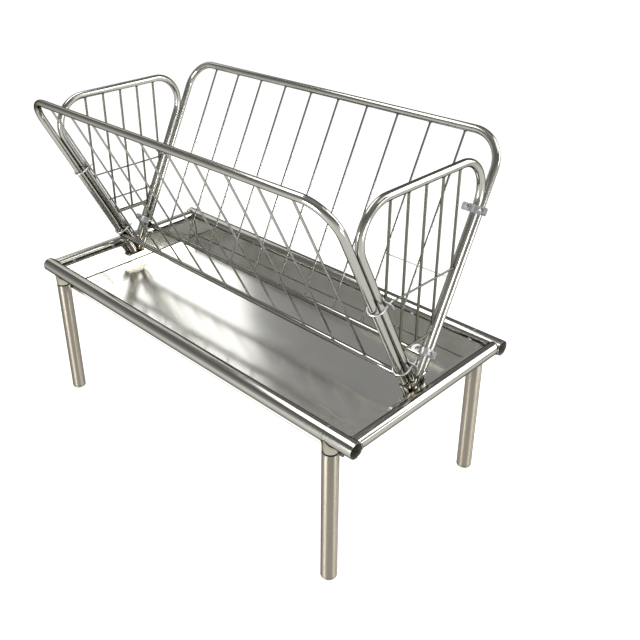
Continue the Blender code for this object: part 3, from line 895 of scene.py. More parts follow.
@dataclass
class BaseFrame:
    """Long rails, end rails and the stubs that the legs push over."""

    wall: float = 0.0015
    edge_round: float = 0.0005
    joint_sink: float = 0.0005
    end_rail_loops: tuple[float, ...] = (-0.29, -0.15, 0.0, 0.15, 0.29)
    weld_radius: float = 0.0022
    weld_steps: int = 96
    stub_weld_lift: float = 0.0006
    collar_chamfer: float = 0.0012
    collar_gap: float = 0.0030
    stub_wall: float = 0.002
    leg_fit: float = 0.0005
    seam_x: float = 0.681
    seam_half: float = 0.0009
    seam_depth: float = 0.0006
    # Heights of the painted shade band in the groove by the tray, and by the rear rail's slot.
    joint_shade: float = 0.004
    slot_shade: float = 0.0075
    slot_start: float = 0.59
    joint_tint: float = 0.15
    sides: int = 64

    def rail_surface(self, offset: float) -> float:
        """Distance from a long rail's axis to its skin, at an offset across the line of sight."""
        return math.sqrt(max(M.rail_radius**2 - offset**2, 0.0))

    def long_rail(self, side: Side) -> None:
        """One long rail, open at both ends, with a ground seam round it near its right end.

        Args:
            side: Its side of the feeder.
        """
        form = Form(f"long_rail_{side.label}_tube")
        axis = Axis(Vector((0, side.value * M.rail_y, M.rail_z)), AXIS_X, (AXIS_Y, AXIS_Z))
        radius = M.rail_radius
        bore = radius - self.wall
        lips = lip(radius, self.edge_round, bore)
        xs = [M.rail_end_x * (2 * share - 1) for share in shares(24)[1:-1]]
        skin = [(x, radius, 0.0) for x in xs if abs(x - self.seam_x) > 2 * self.seam_half]
        skin += [(self.seam_x + k * self.seam_half, radius, 0.0) for k in (-1, 1)]
        # The seam's bottom ring carries painted shade.
        skin.append((self.seam_x, radius - self.seam_depth, PAINTED_SHADE))
        rows = [(inset - M.rail_end_x, r, 0.0) for r, inset in reversed(lips)]
        rows += sorted(skin)
        rows += [(M.rail_end_x - inset, r, 0.0) for r, inset in lips]
        rings = form.turned(axis, rows, self.sides)
        inside = form.turned(axis, [(x, bore, 0.0) for x in xs], self.sides)
        form.chain(rings)
        form.chain([rings[0], *inside, rings[-1]], inner=True)

        def joint_shade(point: Vector) -> float:
            """Painted shade in the groove between the rail and the tray's wall.

            Args:
                point: A point of the rail.

            Returns:
                The painted shade value, or 0 away from the groove.
            """
            above = point.z - M.rail_z
            beside_tray = M.rail_y - side.value * point.y > M.rail_radius * 0.9
            at_slot = side is Side.REAR and point.x > self.slot_start
            low = 0.0 <= above < (self.slot_shade if at_slot else self.joint_shade)
            return PAINTED_SHADE if beside_tray and low and abs(point.x) < M.tray_edge_x else 0.0

        form.stain(joint_shade)
        item = form.build(POLISHED, 20.0, RAW_BORE)
        place(item, "frame", "polished_stainless", f"long_rail_{side.label}")

    def end_rail(self, end: End) -> None:
        """One end rail, fitted to the skins of the long rails and welded to them.

        Args:
            end: Its end of the feeder.
        """
        form = Form(f"end_rail_{end.label}_tube")
        axis = Axis(Vector((end.value * M.end_rail_x, 0, M.rail_z)), AXIS_Y, (AXIS_X, AXIS_Z))
        rims = []
        for radius in (M.end_rail_radius, M.end_rail_radius - self.wall):
            ends = []
            for sign in (-1, 1):

                def height(offset: float, sign: int = sign) -> float:
                    """Place along the end rail where it meets the long rail's skin."""
                    return sign * (M.rail_y - self.rail_surface(offset) + self.joint_sink)

                along = sign * M.rail_y
                ends.append(form.fitted(axis, radius, self.sides, height, along, self.joint_tint))
            rows = [(y, radius, 0.0) for y in self.end_rail_loops]
            form.chain([ends[0], *form.turned(axis, rows, self.sides), ends[1]])
            rims.append(ends)
        for outer, inner in zip(*rims):
            form.bridge(outer, inner)

        def joint_shade(point: Vector) -> float:
            """Painted shade in the groove between the rail and the tray's flange.

            Args:
                point: A point of the rail.

            Returns:
                The painted shade value, or 0 away from the groove.
            """
            above = point.z - M.rail_z
            inside = end.value * point.x < M.end_rail_x
            return PAINTED_SHADE if inside and 0.0 <= above < self.joint_shade else 0.0

        form.stain(joint_shade)
        place(form.build(POLISHED), "frame", "polished_stainless", f"end_rail_{end.label}")

    def corner_weld(self, side: Side, end: End) -> None:
        """Bead round the joint of an end rail and a long rail.

        Args:
            side: The long rail's side.
            end: The end rail's end.
        """
        form = Form(f"corner_weld_{side.label}_{end.label}")
        centre = Vector((end.value * M.end_rail_x, side.value * M.rail_y, M.rail_z))
        reach = M.end_rail_radius + self.weld_radius * 0.25

        def lift(_: float, rise: float) -> Vector:
            """Shift from the long rail's axis to its skin."""
            return AXIS_Y * -side.value * (self.rail_surface(rise) + self.weld_radius * 0.2)

        route = weld_route(centre, (AXIS_X, AXIS_Z), reach, self.weld_steps, lift)
        form.bead(route, self.weld_radius, True, seed=side.value + 3 * end.value)
        place(form.build(POLISHED), "frame", "polished_stainless")

    def leg_stub(self, side: Side, end: End) -> None:
        """Collar fitted to the underside of a rail, with the insert that stands in the leg.

        Args:
            side: Its side of the feeder.
            end: Its end of the feeder.
        """
        node = f"leg_stub_{side.label}_{end.label}"
        form = Form(f"{node}_tube")
        foot = Vector((end.value * M.leg_x, side.value * M.rail_y, 0.0))
        axis = Axis(foot, AXIS_Z, (AXIS_X, AXIS_Y))
        radius = M.rail_radius
        insert = radius - self.wall - self.leg_fit
        bore = insert - self.stub_wall
        bottom = M.leg_top + self.collar_gap
        chamfer = self.collar_chamfer

        def height(offset: float) -> float:
            """Height of the rail's underside at an offset across it."""
            return M.rail_z - self.rail_surface(offset * 0.999)

        top, top_inside = (
            form.fitted(axis, r, self.sides, height, M.rail_z, WELD_TINT) for r in (radius, bore)
        )
        # The rings at the collar's lower edge and down the insert in the gap carry painted shade.
        rows = [
            (bottom + TINT_REACH, radius, self.joint_tint),
            (bottom + chamfer, radius, 0.0),
            (bottom + chamfer * 0.3, radius - chamfer * 0.3, PAINTED_SHADE),
            (bottom, radius - chamfer, PAINTED_SHADE),
            (bottom, insert, PAINTED_SHADE),
            (M.leg_top - self.collar_gap, insert, PAINTED_SHADE),
            (M.leg_top - 2 * self.collar_gap, insert, 0.0),
            (M.stub_bottom + chamfer, insert, 0.0),
            (M.stub_bottom, insert - chamfer, 0.0),
            (M.stub_bottom, bore, 0.0),
        ]
        form.chain([top, *form.turned(axis, rows, self.sides), top_inside])
        form.bridge(top, top_inside)
        reach = radius + self.stub_weld_lift

        def lift(_: float, offset: float) -> Vector:
            """Shift from the rail's axis down to just below its skin."""
            skin = self.rail_surface(offset / reach * radius * 0.985)
            return AXIS_Z * (M.rail_z - skin - self.stub_weld_lift)

        route = weld_route(foot, (AXIS_X, AXIS_Y), reach, self.weld_steps, lift)
        form.bead(route, self.weld_radius * 0.8, True, seed=side.value + 7 * end.value)
        place(form.build(POLISHED), "frame", "polished_stainless", node)

    def build(self) -> None:
        """Build every piece of the base frame."""
        for side in Side:
            self.long_rail(side)
            for end in End:
                self.corner_weld(side, end)
                self.leg_stub(side, end)
        for end in End:
            self.end_rail(end)


@dataclass
class Leg:
    """Plug-on leg: a tube with a chamfered mouth and a cap welded in its foot."""

    side: Side
    end: End
    wall: float = 0.0015
    mouth_chamfer: float = 0.0022
    foot_round: float = 0.0055
    foot_steps: int = 6
    base: float = 0.004
    base_round: float = 0.003
    cap_line: float = 0.0095
    cap_line_half: float = 0.0006
    cap_line_depth: float = 0.0007
    sides: int = 72

    def build(self) -> None:
        """Build the leg on its own body, with painted shade at its mouth and in the line round its
        cap.
        """
        radius = M.rail_radius
        bore = radius - self.wall
        chamfer = self.mouth_chamfer
        node = f"leg_{self.side.label}_{self.end.label}"
        form = Form(f"{node}_tube")
        foot = Vector((self.end.value * M.leg_x, self.side.value * M.rail_y, 0.0))
        turns = [math.pi / 2 * share for share in shares(self.foot_steps)]
        rows = [(0.0, radius * 0.4, 0.0)]
        rows += [
            (self.foot_round * (1 - math.cos(t)), radius - self.foot_round * (1 - math.sin(t)), 0.0)
            for t in turns
        ]
        # The groove round the cap and the rings at the mouth carry painted shade.
        rows += [
            (self.cap_line - self.cap_line_half, radius, 0.0),
            (self.cap_line, radius - self.cap_line_depth, PAINTED_SHADE),
            (self.cap_line + self.cap_line_half, radius, 0.0),
            (M.leg_top * 0.3, radius, 0.0),
            (M.leg_top * 0.6, radius, 0.0),
            (M.leg_top - chamfer, radius, 0.0),
            (M.leg_top - chamfer * 0.75, radius - chamfer * 0.1, PAINTED_SHADE),
            (M.leg_top, radius - chamfer * 0.6, PAINTED_SHADE),
            (M.leg_top, bore, PAINTED_SHADE),
            (self.foot_round, bore, 0.0),
            (self.base, bore - self.base_round, 0.0),
        ]
        rings = form.turned(Axis(foot, AXIS_Z, (AXIS_X, AXIS_Y)), rows, self.sides)
        form.chain(rings)
        form.cap(rings[0], rings[-1])
        place(form.build(SATIN), node, "satin_stainless", node)


@dataclass
class Tray:
    """Feed tray of folded sheet, tacked to the rails."""

    sheet: float = 0.0015
    bend: float = 0.0036
    bend_steps: int = 6
    flange: float = 0.0165
    end_draft: float = 0.011
    side_tack: float = 0.0024
    side_tack_length: float = 0.018
    side_tack_places: tuple[float, ...] = (-0.66, -0.36, -0.1, 0.17, 0.44, 0.67)
    end_tack: float = 0.00224
    end_tack_length: float = 0.014
    end_tack_places: tuple[float, ...] = (-0.27, -0.09, 0.1, 0.28)
    tack_gap: float = 0.0002
    tack_rise: float = 0.0008

    def outline(self) -> bmesh.types.BMesh:
        """The sheet without its thickness: floor, walls and end flanges, with rounded folds.

        Returns:
            The mesh under work, with its normals up and inward.
        """
        wall_y = M.tray_half_width - self.sheet
        rim_x = M.tray_edge_x - self.flange
        floor_z = M.tray_floor + self.sheet
        levels = {
            "floor": (rim_x - self.end_draft, floor_z),
            "rim": (rim_x, M.rail_z),
            "edge": (M.tray_edge_x, M.rail_z),
        }
        ring = ((-1, -1), (1, -1), (1, 1), (-1, 1))
        work = bmesh.new()
        spots = {
            (a, b, level): work.verts.new((a * x, b * wall_y, z))
            for a, b in sorted(ring)
            for level, (x, z) in levels.items()
        }
        work.faces.new([spots[a, b, "floor"] for a, b in ring])
        for here, there in zip(ring, ring[1:] + ring[:1]):
            corners = ((*here, "rim"), (*there, "rim"), (*there, "floor"), (*here, "floor"))
            work.faces.new([spots[corner] for corner in corners])
        for a in (-1, 1):
            corners = ((a, -1, "rim"), (a, -1, "edge"), (a, 1, "edge"), (a, 1, "rim"))
            work.faces.new([spots[corner] for corner in corners[::a]])
        bmesh.ops.recalc_face_normals(work, faces=work.faces)
        floor_face = min(work.faces, key=lambda f: f.calc_center_median().z)
        if floor_face.normal.z < 0:
            bmesh.ops.reverse_faces(work, faces=work.faces)
        folds = [e for e in work.edges if len(e.link_faces) == 2]
        steps = self.bend_steps
        bmesh.ops.bevel(
            work, geom=folds, offset=self.bend, segments=steps, profile=0.5, affect="EDGES"
        )
        work.normal_update()
        return work

    def shell(self) -> None:
        """The sheet, thickened outwards, with painted shade in its folds."""
        work = self.outline()
        wide = {
            face
            for face in work.faces
            if face.calc_area() > self.bend * max(e.calc_length() for e in face.edges)
        }
        # Points on the folds get painted shade.
        shade_level = [0.0 if wide.intersection(v.link_faces) else PAINTED_SHADE for v in work.verts]
        mesh = bpy.data.meshes.new("tray_sheet")
        work.to_mesh(mesh)
        work.free()
        stamp(mesh, [Vector((v.co.x, v.co.y, 0.0)) for v in mesh.vertices], shade_level)
        mesh.uv_layers.new(name="lap")
        mesh.materials.append(SHEET.material)
        item = add_object("tray_sheet", mesh)
        thick = item.modifiers.new("sheet thickness", "SOLIDIFY")
        thick.thickness = self.sheet
        thick.offset = -1.0
        thick.use_even_offset = True
        item.data = evaluated_mesh(item)
        item.modifiers.clear()
        bpy.data.meshes.remove(mesh)
        item.data.name = "tray_sheet"
        item.data.shade_smooth()
        item.data.set_sharp_from_angle(angle=math.radians(40))
        flat = item.modifiers.new("flat walls", "WEIGHTED_NORMAL")
        flat.keep_sharp = True
        flat.weight = 100
        place(item, "frame", "sheet_stainless", "tray")

    def tacks(self) -> None:
        """Short tack welds where the tray's walls meet the rails."""
        form = Form("tray_tack_welds")
        z = M.rail_z + self.tack_rise
        for side in Side:
            y = side.value * (M.tray_half_width + self.tack_gap)
            for k, x in enumerate(self.side_tack_places):
                route = straight(Vector((x, y, z)), Vector((x + self.side_tack_length, y, z)), 7)
                form.bead(route, self.side_tack, False, seed=side.value * 11 + k)
        for end in End:
            x = end.value * (M.tray_edge_x + self.tack_gap)
            for k, y in enumerate(self.end_tack_places):
                route = straight(Vector((x, y, z)), Vector((x, y + self.end_tack_length, z)), 7)
                form.bead(route, self.end_tack, False, seed=end.value * 17 + k)
        place(form.build(POLISHED), "frame", "polished_stainless")

    def build(self) -> None:
        """Build the tray and its welds."""
        self.shell()
        self.tacks()


@dataclass
class RackFoot:
    """Foot of the rack at one end: the plate on the tray's end wall and its two sockets."""

    end: End
    socket_length: float = 0.065
    socket_wall: float = 0.0028
    socket_round: float = 0.0007
    corner_round: float = 0.010
    corner_steps: int = 6
    edge_round: float = 0.0008
    hole_radius: float = 0.003
    hole_steps: int = 20
    hole_inset: float = 0.012
    heat_y: float = 0.018
    heat_reach: float = 0.03
    weld_radius: float = 0.0018
    weld_rise: float = 0.0004
    socket_weld_rise: float = 0.0006
    sides: int = 56

    def outlines(self) -> list[list[Pair]]:
        """Edge of the plate with rounded inner corners, and its two holes.

        Returns:
            The loops of points, for the right end.
        """
        half = M.plate_half_width
        bend = self.corner_round
        turns = [math.pi / 2 * share for share in shares(self.corner_steps)]
        edge = [(M.plate_outer_x, -half)]
        holes = []
        for side in (-1, 1):
            x, y = M.plate_inner_x + bend, side * (half - bend)
            bow = [(x - bend * math.sin(t), y + side * bend * math.cos(t)) for t in turns]
            edge += bow[::-side]
            x, y = M.plate_inner_x + self.hole_inset, side * (half - self.hole_inset)
            steps = round_steps(self.hole_steps)
            holes.append([(x + self.hole_radius * c, y - self.hole_radius * s) for c, s in steps])
        return [[*edge, (M.plate_outer_x, half)], *holes]

    def plate(self) -> None:
        """The plate, as a filled outline with thickness."""
        name = f"foot_plate_{self.end.label}"
        curve = bpy.data.curves.new(f"{name}_outline", "CURVE")
        curve.dimensions = "2D"
        curve.fill_mode = "BOTH"
        curve.extrude = (M.plate_top - M.plate_bottom) / 2 - self.edge_round
        curve.bevel_depth = self.edge_round
        curve.bevel_resolution = 2
        curve.offset = -self.edge_round
        for loop in self.outlines():
            spline = curve.splines.new("POLY")
            spline.points.add(len(loop) - 1)
            for point, (x, y) in zip(spline.points, loop):
                point.co = (self.end.value * x, y, 0.0, 1.0)
            spline.use_cyclic_u = True
        holder = add_object(curve.name, curve)
        mesh = evaluated_mesh(holder)
        bpy.data.objects.remove(holder)
        mesh.name = f"{name}_sheet"
        mesh.transform(Matrix.Translation((0, 0, (M.plate_top + M.plate_bottom) / 2)))
        distances = [abs(abs(v.co.y) - self.heat_y) for v in mesh.vertices]
        heat = [max(0.0, 0.7 - distance / self.heat_reach) for distance in distances]
        stamp(mesh, [v.co for v in mesh.vertices], heat)
        mesh.materials.clear()
        mesh.materials.append(SHEET.material)
        place(add_object(mesh.name, mesh), "frame", "sheet_stainless", name)

    def plate_weld(self) -> None:
        """Bead along the plate's back edge."""
        form = Form(f"foot_plate_weld_{self.end.label}")
        x, z = self.end.value * M.plate_outer_x, M.plate_top + self.weld_rise
        reach = M.plate_half_width * 0.96
        route = straight(Vector((x, -reach, z)), Vector((x, reach, z)), 60)
        form.bead(route, self.weld_radius, False, seed=5.0)
        place(form.build(POLISHED), "frame", "polished_stainless")

    def socket(self, side: Side) -> None:
        """Slanted socket with its weld to the plate.

        Args:
            side: Side panel that stands in it.
        """
        node = f"socket_{side.label}_{self.end.label}"
        form = Form(f"{node}_tube")
        x = self.end.value * M.rack_x
        end_down = down_at(M.plate_top + M.socket_radius * LEAN_SIN)
        mouth = on_panel(side, x, end_down - self.socket_length)
        foot = on_panel(side, x, end_down)
        profile = lip(M.socket_radius, self.socket_round, M.socket_radius - self.socket_wall)
        heat = [0.0, 0.0, 0.0, 0.15, 0.7]
        form.sweep(straight(mouth, foot, 4), AXIS_X, profile, self.sides, heat)
        reach = M.socket_radius + self.socket_weld_rise
        lowest = M.plate_top + self.socket_weld_rise
        route = []
        for share in shares(24):
            angle = math.pi * (share - 0.5) * 1.5
            outward = panel_inward(side) * -math.cos(angle) + AXIS_X * math.sin(angle)
            spot = foot + outward * reach
            route.append(Vector((spot.x, spot.y, max(spot.z, lowest))))
        form.bead(route, self.weld_radius, False, seed=side.value * 2.0)
        place(form.build(POLISHED), "frame", "polished_stainless", node)

    def build(self) -> None:
        """Build the foot."""
        self.plate()
        self.plate_weld()
        for side in Side:
            self.socket(side)


@dataclass
class SidePanel:
    """Side panel of the rack: the bent tube, and the bars on their lower tube."""

    side: Side
    tube_wall: float = 0.0015
    tube_round: float = 0.0005
    foot_gap: float = 0.0003
    corner_radius: float = 0.100
    lower_radius: float = 0.0095
    lower_round: float = 0.0006
    lower_sink: float = 0.001
    lower_sides: int = 32
    lower_outward: float = 0.003
    lower_down: float = 0.677
    bar_count: int = 10
    bar_pitch: float = 0.126
    bar_radius: float = 0.0035
    bar_round: float = 0.0005
    bar_sink: float = 0.0015
    bar_sides: int = 20
    wire_radius: float = 0.00175
    wire_sides: int = 14
    wire_round: float = 0.0004
    wire_down: float = 0.435
    wire_first_bar: int = 8
    weld_radius: float = 0.0014
    weld_steps: int = 20
    bend_steps: int = 20
    sides: int = 48

    def spot(self, x: float, down: float, inward: float = 0.0) -> Vector:
        """Point of this panel."""
        return on_panel(self.side, x, down, inward)

    def bar_x(self, k: int) -> float:
        """Place of a bar along the feeder."""
        return (k - (self.bar_count - 1) / 2) * self.bar_pitch

    def tube(self) -> None:
        """Bent tube that stands in the sockets."""
        node = f"side_frame_{self.side.label}"
        form = Form(f"{node}_tube")
        down = panel_down(self.side)
        foot = down_at(M.plate_top + self.foot_gap + M.rack_radius * LEAN_SIN)
        bend, x, inner = self.corner_radius, M.rack_x, M.rack_x - self.corner_radius
        path = straight(self.spot(-x, foot), self.spot(-x, bend), 12)[:-1]
        path += arc(self.spot(-x, 0), -down, AXIS_X, bend, self.bend_steps)
        path += straight(self.spot(-inner, 0), self.spot(inner, 0), 12)[1:-1]
        path += arc(self.spot(x, 0), AXIS_X, down, bend, self.bend_steps)
        path += straight(self.spot(x, bend), self.spot(x, foot), 12)[1:]
        profile = lip(M.rack_radius, self.tube_round, M.rack_radius - self.tube_wall)
        form.sweep(path, panel_inward(self.side), profile, self.sides)
        place(form.build(POLISHED), f"side_panel_{self.side.label}", "polished_stainless", node)

    def ring_weld(
        self,
        form: Form,
        centre: Vector,
        headings: Axes,
        radii: Pair,
        seed: float,
    ) -> None:
        """Bead round a rod where it meets a tube.

        Args:
            form: Form that takes the bead.
            centre: Point on the tube's axis where the rod's axis meets it.
            headings: Unit headings of the rod, away from the tube, and of the tube.
            radii: Radius of the rod and of the tube.
            seed: Place in the noise that varies the bead.
        """
        rod, tube = headings
        rod_radius, tube_radius = radii

        def lift(_: float, offset: float) -> Vector:
            """Shift from the tube's axis to its skin."""
            skin = math.sqrt(max(tube_radius**2 - offset**2, 0.0))
            return rod * (skin + self.weld_radius * 0.2)

        reach = rod_radius + self.weld_radius * 0.3
        axes = (tube, rod.cross(tube).normalized())
        route = weld_route(centre, axes, reach, self.weld_steps, lift)
        form.bead(route, self.weld_radius, True, seed)

    def bars(self) -> None:
        """Lower tube and bars, with their welds, and the tie wire of the rear panel."""
        node = f"side_bars_{self.side.label}"
        form = Form(f"{node}_grille")
        down, inward = panel_down(self.side), panel_inward(self.side)
        low, out = self.lower_down, -self.lower_outward
        inner = M.rack_x - M.rack_radius + self.lower_sink
        lower = straight(self.spot(-inner, low, out), self.spot(inner, low, out), 16)
        form.sweep(lower, inward, lip(self.lower_radius, self.lower_round), self.lower_sides)
        top_radii = (self.bar_radius, M.rack_radius)
        foot_radii = (self.bar_radius, self.lower_radius)
        for k in range(self.bar_count):
            x = self.bar_x(k)
            top, foot = self.spot(x, 0), self.spot(x, low)
            path, heat = rod_path(self.spot(x, M.rack_radius - self.bar_sink), foot)
            profile = lip(self.bar_radius, self.bar_round)
            form.sweep(path, AXIS_X, profile, self.bar_sides, heat)
            self.ring_weld(form, top, (down, AXIS_X), top_radii, k * 1.7)
            self.ring_weld(form, foot, (-down, AXIS_X), foot_radii, k * 2.3 + 9)
        for end in End:
            seat = self.spot(end.value * M.rack_x, low, out)
            headings = (AXIS_X * -end.value, down)
            self.ring_weld(
                form, seat, headings, (self.lower_radius, M.rack_radius), 31.0 + end.value
            )
        if self.side is Side.REAR:
            start = self.spot(self.bar_x(self.wire_first_bar), self.wire_down, self.bar_radius)
            wire = straight(start, self.spot(inner, self.wire_down, self.bar_radius), 6)
            form.sweep(wire, inward, lip(self.wire_radius, self.wire_round), self.wire_sides)
        place(form.build(BRIGHT_WIRE), f"side_panel_{self.side.label}", "wire_stainless", node)

    def build(self) -> None:
        """Build the panel."""
        self.tube()
        self.bars()


@dataclass
class EndPanel:
    """End panel of the rack: the bent tube inside the side panels' tubes, bars, cross wires."""

    end: End
    tube_wall: float = 0.0015
    tube_round: float = 0.0006
    tube_gap: float = 0.0003
    corner_radius: float = 0.100
    bar_count: int = 5
    bar_pitch: float = 0.0745
    bar_radius: float = 0.004
    bar_round: float = 0.0005
    bar_overhang: float = 0.008
    bar_sink: float = 0.0015
    bar_sides: int = 20
    foot_sink: float = 0.001
    wire_radius: float = 0.003
    wire_sides: int = 24
    wire_weld_spread: float = 1.15
    upper_wire: float = 0.328
    middle_wire: float = 0.217
    lower_wire: float = 0.148
    lower_bar: float = 0.160
    lower_bar_radius: float = 0.007
    weld_radius: float = 0.0015
    weld_steps: int = 20
    bar_weld_out: float = 0.0004
    bar_weld_lift: float = 0.0003
    foot_weld_radius: float = 0.0034
    foot_weld_half_width: float = 0.011
    foot_weld_drop: float = 0.004
    foot_weld_bow: float = 0.005
    cross_weld_radius: float = 0.0012
    bend_steps: int = 20
    sides: int = 48

    @property
    def inward(self) -> float:
        """Distance from a side panel's tube to this panel's tube, centre to centre."""
        return 2 * M.rack_radius + self.tube_gap

    @property
    def x(self) -> float:
        """Place of the panel along the feeder."""
        return self.end.value * M.rack_x

    def half_width(self, height: float) -> float:
        """Distance from the middle to the axis of the slanted tube at a height."""
        return abs(on_panel(Side.REAR, 0.0, down_at(height, self.inward), self.inward).y)

    def tube(self) -> None:
        """Bent tube with its feet welded together."""
        node = f"end_frame_{self.end.label}"
        form = Form(f"{node}_tube")
        inner_face = self.inward + M.rack_radius
        foot = (M.rack_top_y - inner_face * LEAN_COS) / LEAN_SIN
        corner = down_at(M.end_top_z, self.inward)
        bend_end = corner + self.corner_radius * math.tan((math.pi / 2 + M.lean) / 2)
        run = foot - bend_end
        steps = [*shares(12)[1:-1], 1.0 - TINT_REACH / run, 1.0]
        path = []
        for side in Side:
            spot = on_panel(side, self.x, corner, self.inward)
            heading = panel_down(side)
            leg = [on_panel(side, self.x, bend_end + run * share, self.inward) for share in steps]
            if side is Side.FRONT:
                path += leg[::-1]
                path += arc(spot, -heading, AXIS_Y, self.corner_radius, self.bend_steps)
            else:
                path += arc(spot, AXIS_Y, heading, self.corner_radius, self.bend_steps) + leg
        heat = [0.7, *[0.0] * (len(path) - 2), 0.7]
        profile = lip(M.rack_radius, self.tube_round, M.rack_radius - self.tube_wall)
        form.sweep(path, AXIS_X, profile, self.sides, heat)
        weld = on_panel(Side.REAR, self.x, foot, inner_face).z - self.foot_weld_drop
        wide, bow = self.foot_weld_half_width, self.foot_weld_bow
        route = [
            Vector((self.x + wide * math.sin(t), 0.0, weld + bow * math.cos(t)))
            for t in (math.pi * (share - 0.5) for share in shares(15))
        ]
        form.bead(route, self.foot_weld_radius, False, seed=self.end.value * 4.0)
        place(form.build(POLISHED), "frame", "polished_stainless", node)

    def cross_wire(self, form: Form, x: float, height: float, radius: float) -> None:
        """One wire or bar across the panel, with its welds to the slanted tubes.

        Args:
            form: Form that takes it.
            x: Place of its axis along the feeder.
            height: Its height above the rails' axes.
            radius: Its radius.
        """
        z = M.rail_z + height
        reach = self.half_width(z) - (M.rack_radius - self.foot_sink) / LEAN_COS
        path, heat = rod_path(Vector((x, -reach, z)), Vector((x, reach, z)))
        form.sweep(path, AXIS_X, lip(radius, self.bar_round), self.wire_sides, heat)
        spread = self.wire_weld_spread
        for sign in (-1, 1):

            def lift(_: float, rise: float, sign: int = sign) -> Vector:
                """Shift along the slanted skin of the tube."""
                return AXIS_Y * (sign * rise / spread * math.tan(M.lean))

            centre = Vector((x, sign * reach, z))
            reach_out = radius * spread
            route = weld_route(centre, (AXIS_X, AXIS_Z), reach_out, self.weld_steps, lift)
            form.bead(route, self.weld_radius, True, seed=height * 40 + sign)

    def upright(self, form: Form, k: int, lowest: float, heights: tuple[float, ...]) -> None:
        """One upright bar, welded to the top tube and to the wires that cross it.

        Args:
            form: Form that takes it.
            k: Number of the bar, from the front.
            lowest: Height above the rails' axes where the longest bars end.
            heights: Heights of the wires on the panel's outer face.
        """
        y = (k - (self.bar_count - 1) / 2) * self.bar_pitch
        down = (M.rack_top_y - self.inward * LEAN_COS - abs(y)) / LEAN_SIN
        tube_z = on_panel(Side.REAR, 0.0, down, self.inward).z
        on_tube = tube_z + (M.rack_radius - self.foot_sink) / LEAN_SIN
        foot = max(on_tube, M.rail_z + lowest)
        top = M.end_top_z - M.rack_radius + self.bar_sink
        path, heat = rod_path(Vector((self.x, y, top)), Vector((self.x, y, foot)), 0.4)
        profile = lip(self.bar_radius, self.bar_round)
        form.sweep(path, AXIS_X, profile, self.bar_sides, heat)

        def lift(offset: float, _: float) -> Vector:
            """Shift from the top tube's axis down to its skin."""
            skin = math.sqrt(M.rack_radius**2 - offset**2)
            return AXIS_Z * -(skin + self.bar_weld_lift)

        centre = Vector((self.x, y, M.end_top_z))
        reach = self.bar_radius + self.bar_weld_out
        route = weld_route(centre, (AXIS_X, AXIS_Y), reach, self.weld_steps, lift)
        form.bead(route, self.weld_radius, True, seed=k * 5.1)
        face = self.bar_radius * 0.8
        run = AXIS_Z * self.bar_radius
        for z in (M.rail_z + height for height in heights):
            for step in (-1, 1) if z > foot else ():
                spot = Vector((self.x + self.end.value * face, y + step * face, z))
                route = straight(spot - run, spot + run, 4)
                form.bead(route, self.cross_weld_radius, False, k + step)

    def bars(self) -> None:
        """Upright bars and the wires across their outer faces, with a weld at each crossing."""
        node = f"end_bars_{self.end.label}"
        form = Form(f"{node}_grille")
        left = self.end is End.LEFT
        heights = (self.upper_wire, self.middle_wire if left else self.lower_wire)
        for height in heights:
            wire_x = self.x + self.end.value * self.bar_radius
            self.cross_wire(form, wire_x, height, self.wire_radius)
        if left:
            self.cross_wire(form, self.x, self.lower_bar, self.lower_bar_radius)
        lowest = self.lower_bar if left else self.lower_wire - self.bar_overhang
        for k in range(self.bar_count):
            self.upright(form, k, lowest, heights)
        place(form.build(SHADED_DULL_WIRE), "frame", "wire_stainless", node)

    def build(self) -> None:
        """Build the panel."""
        self.tube()
        self.bars()


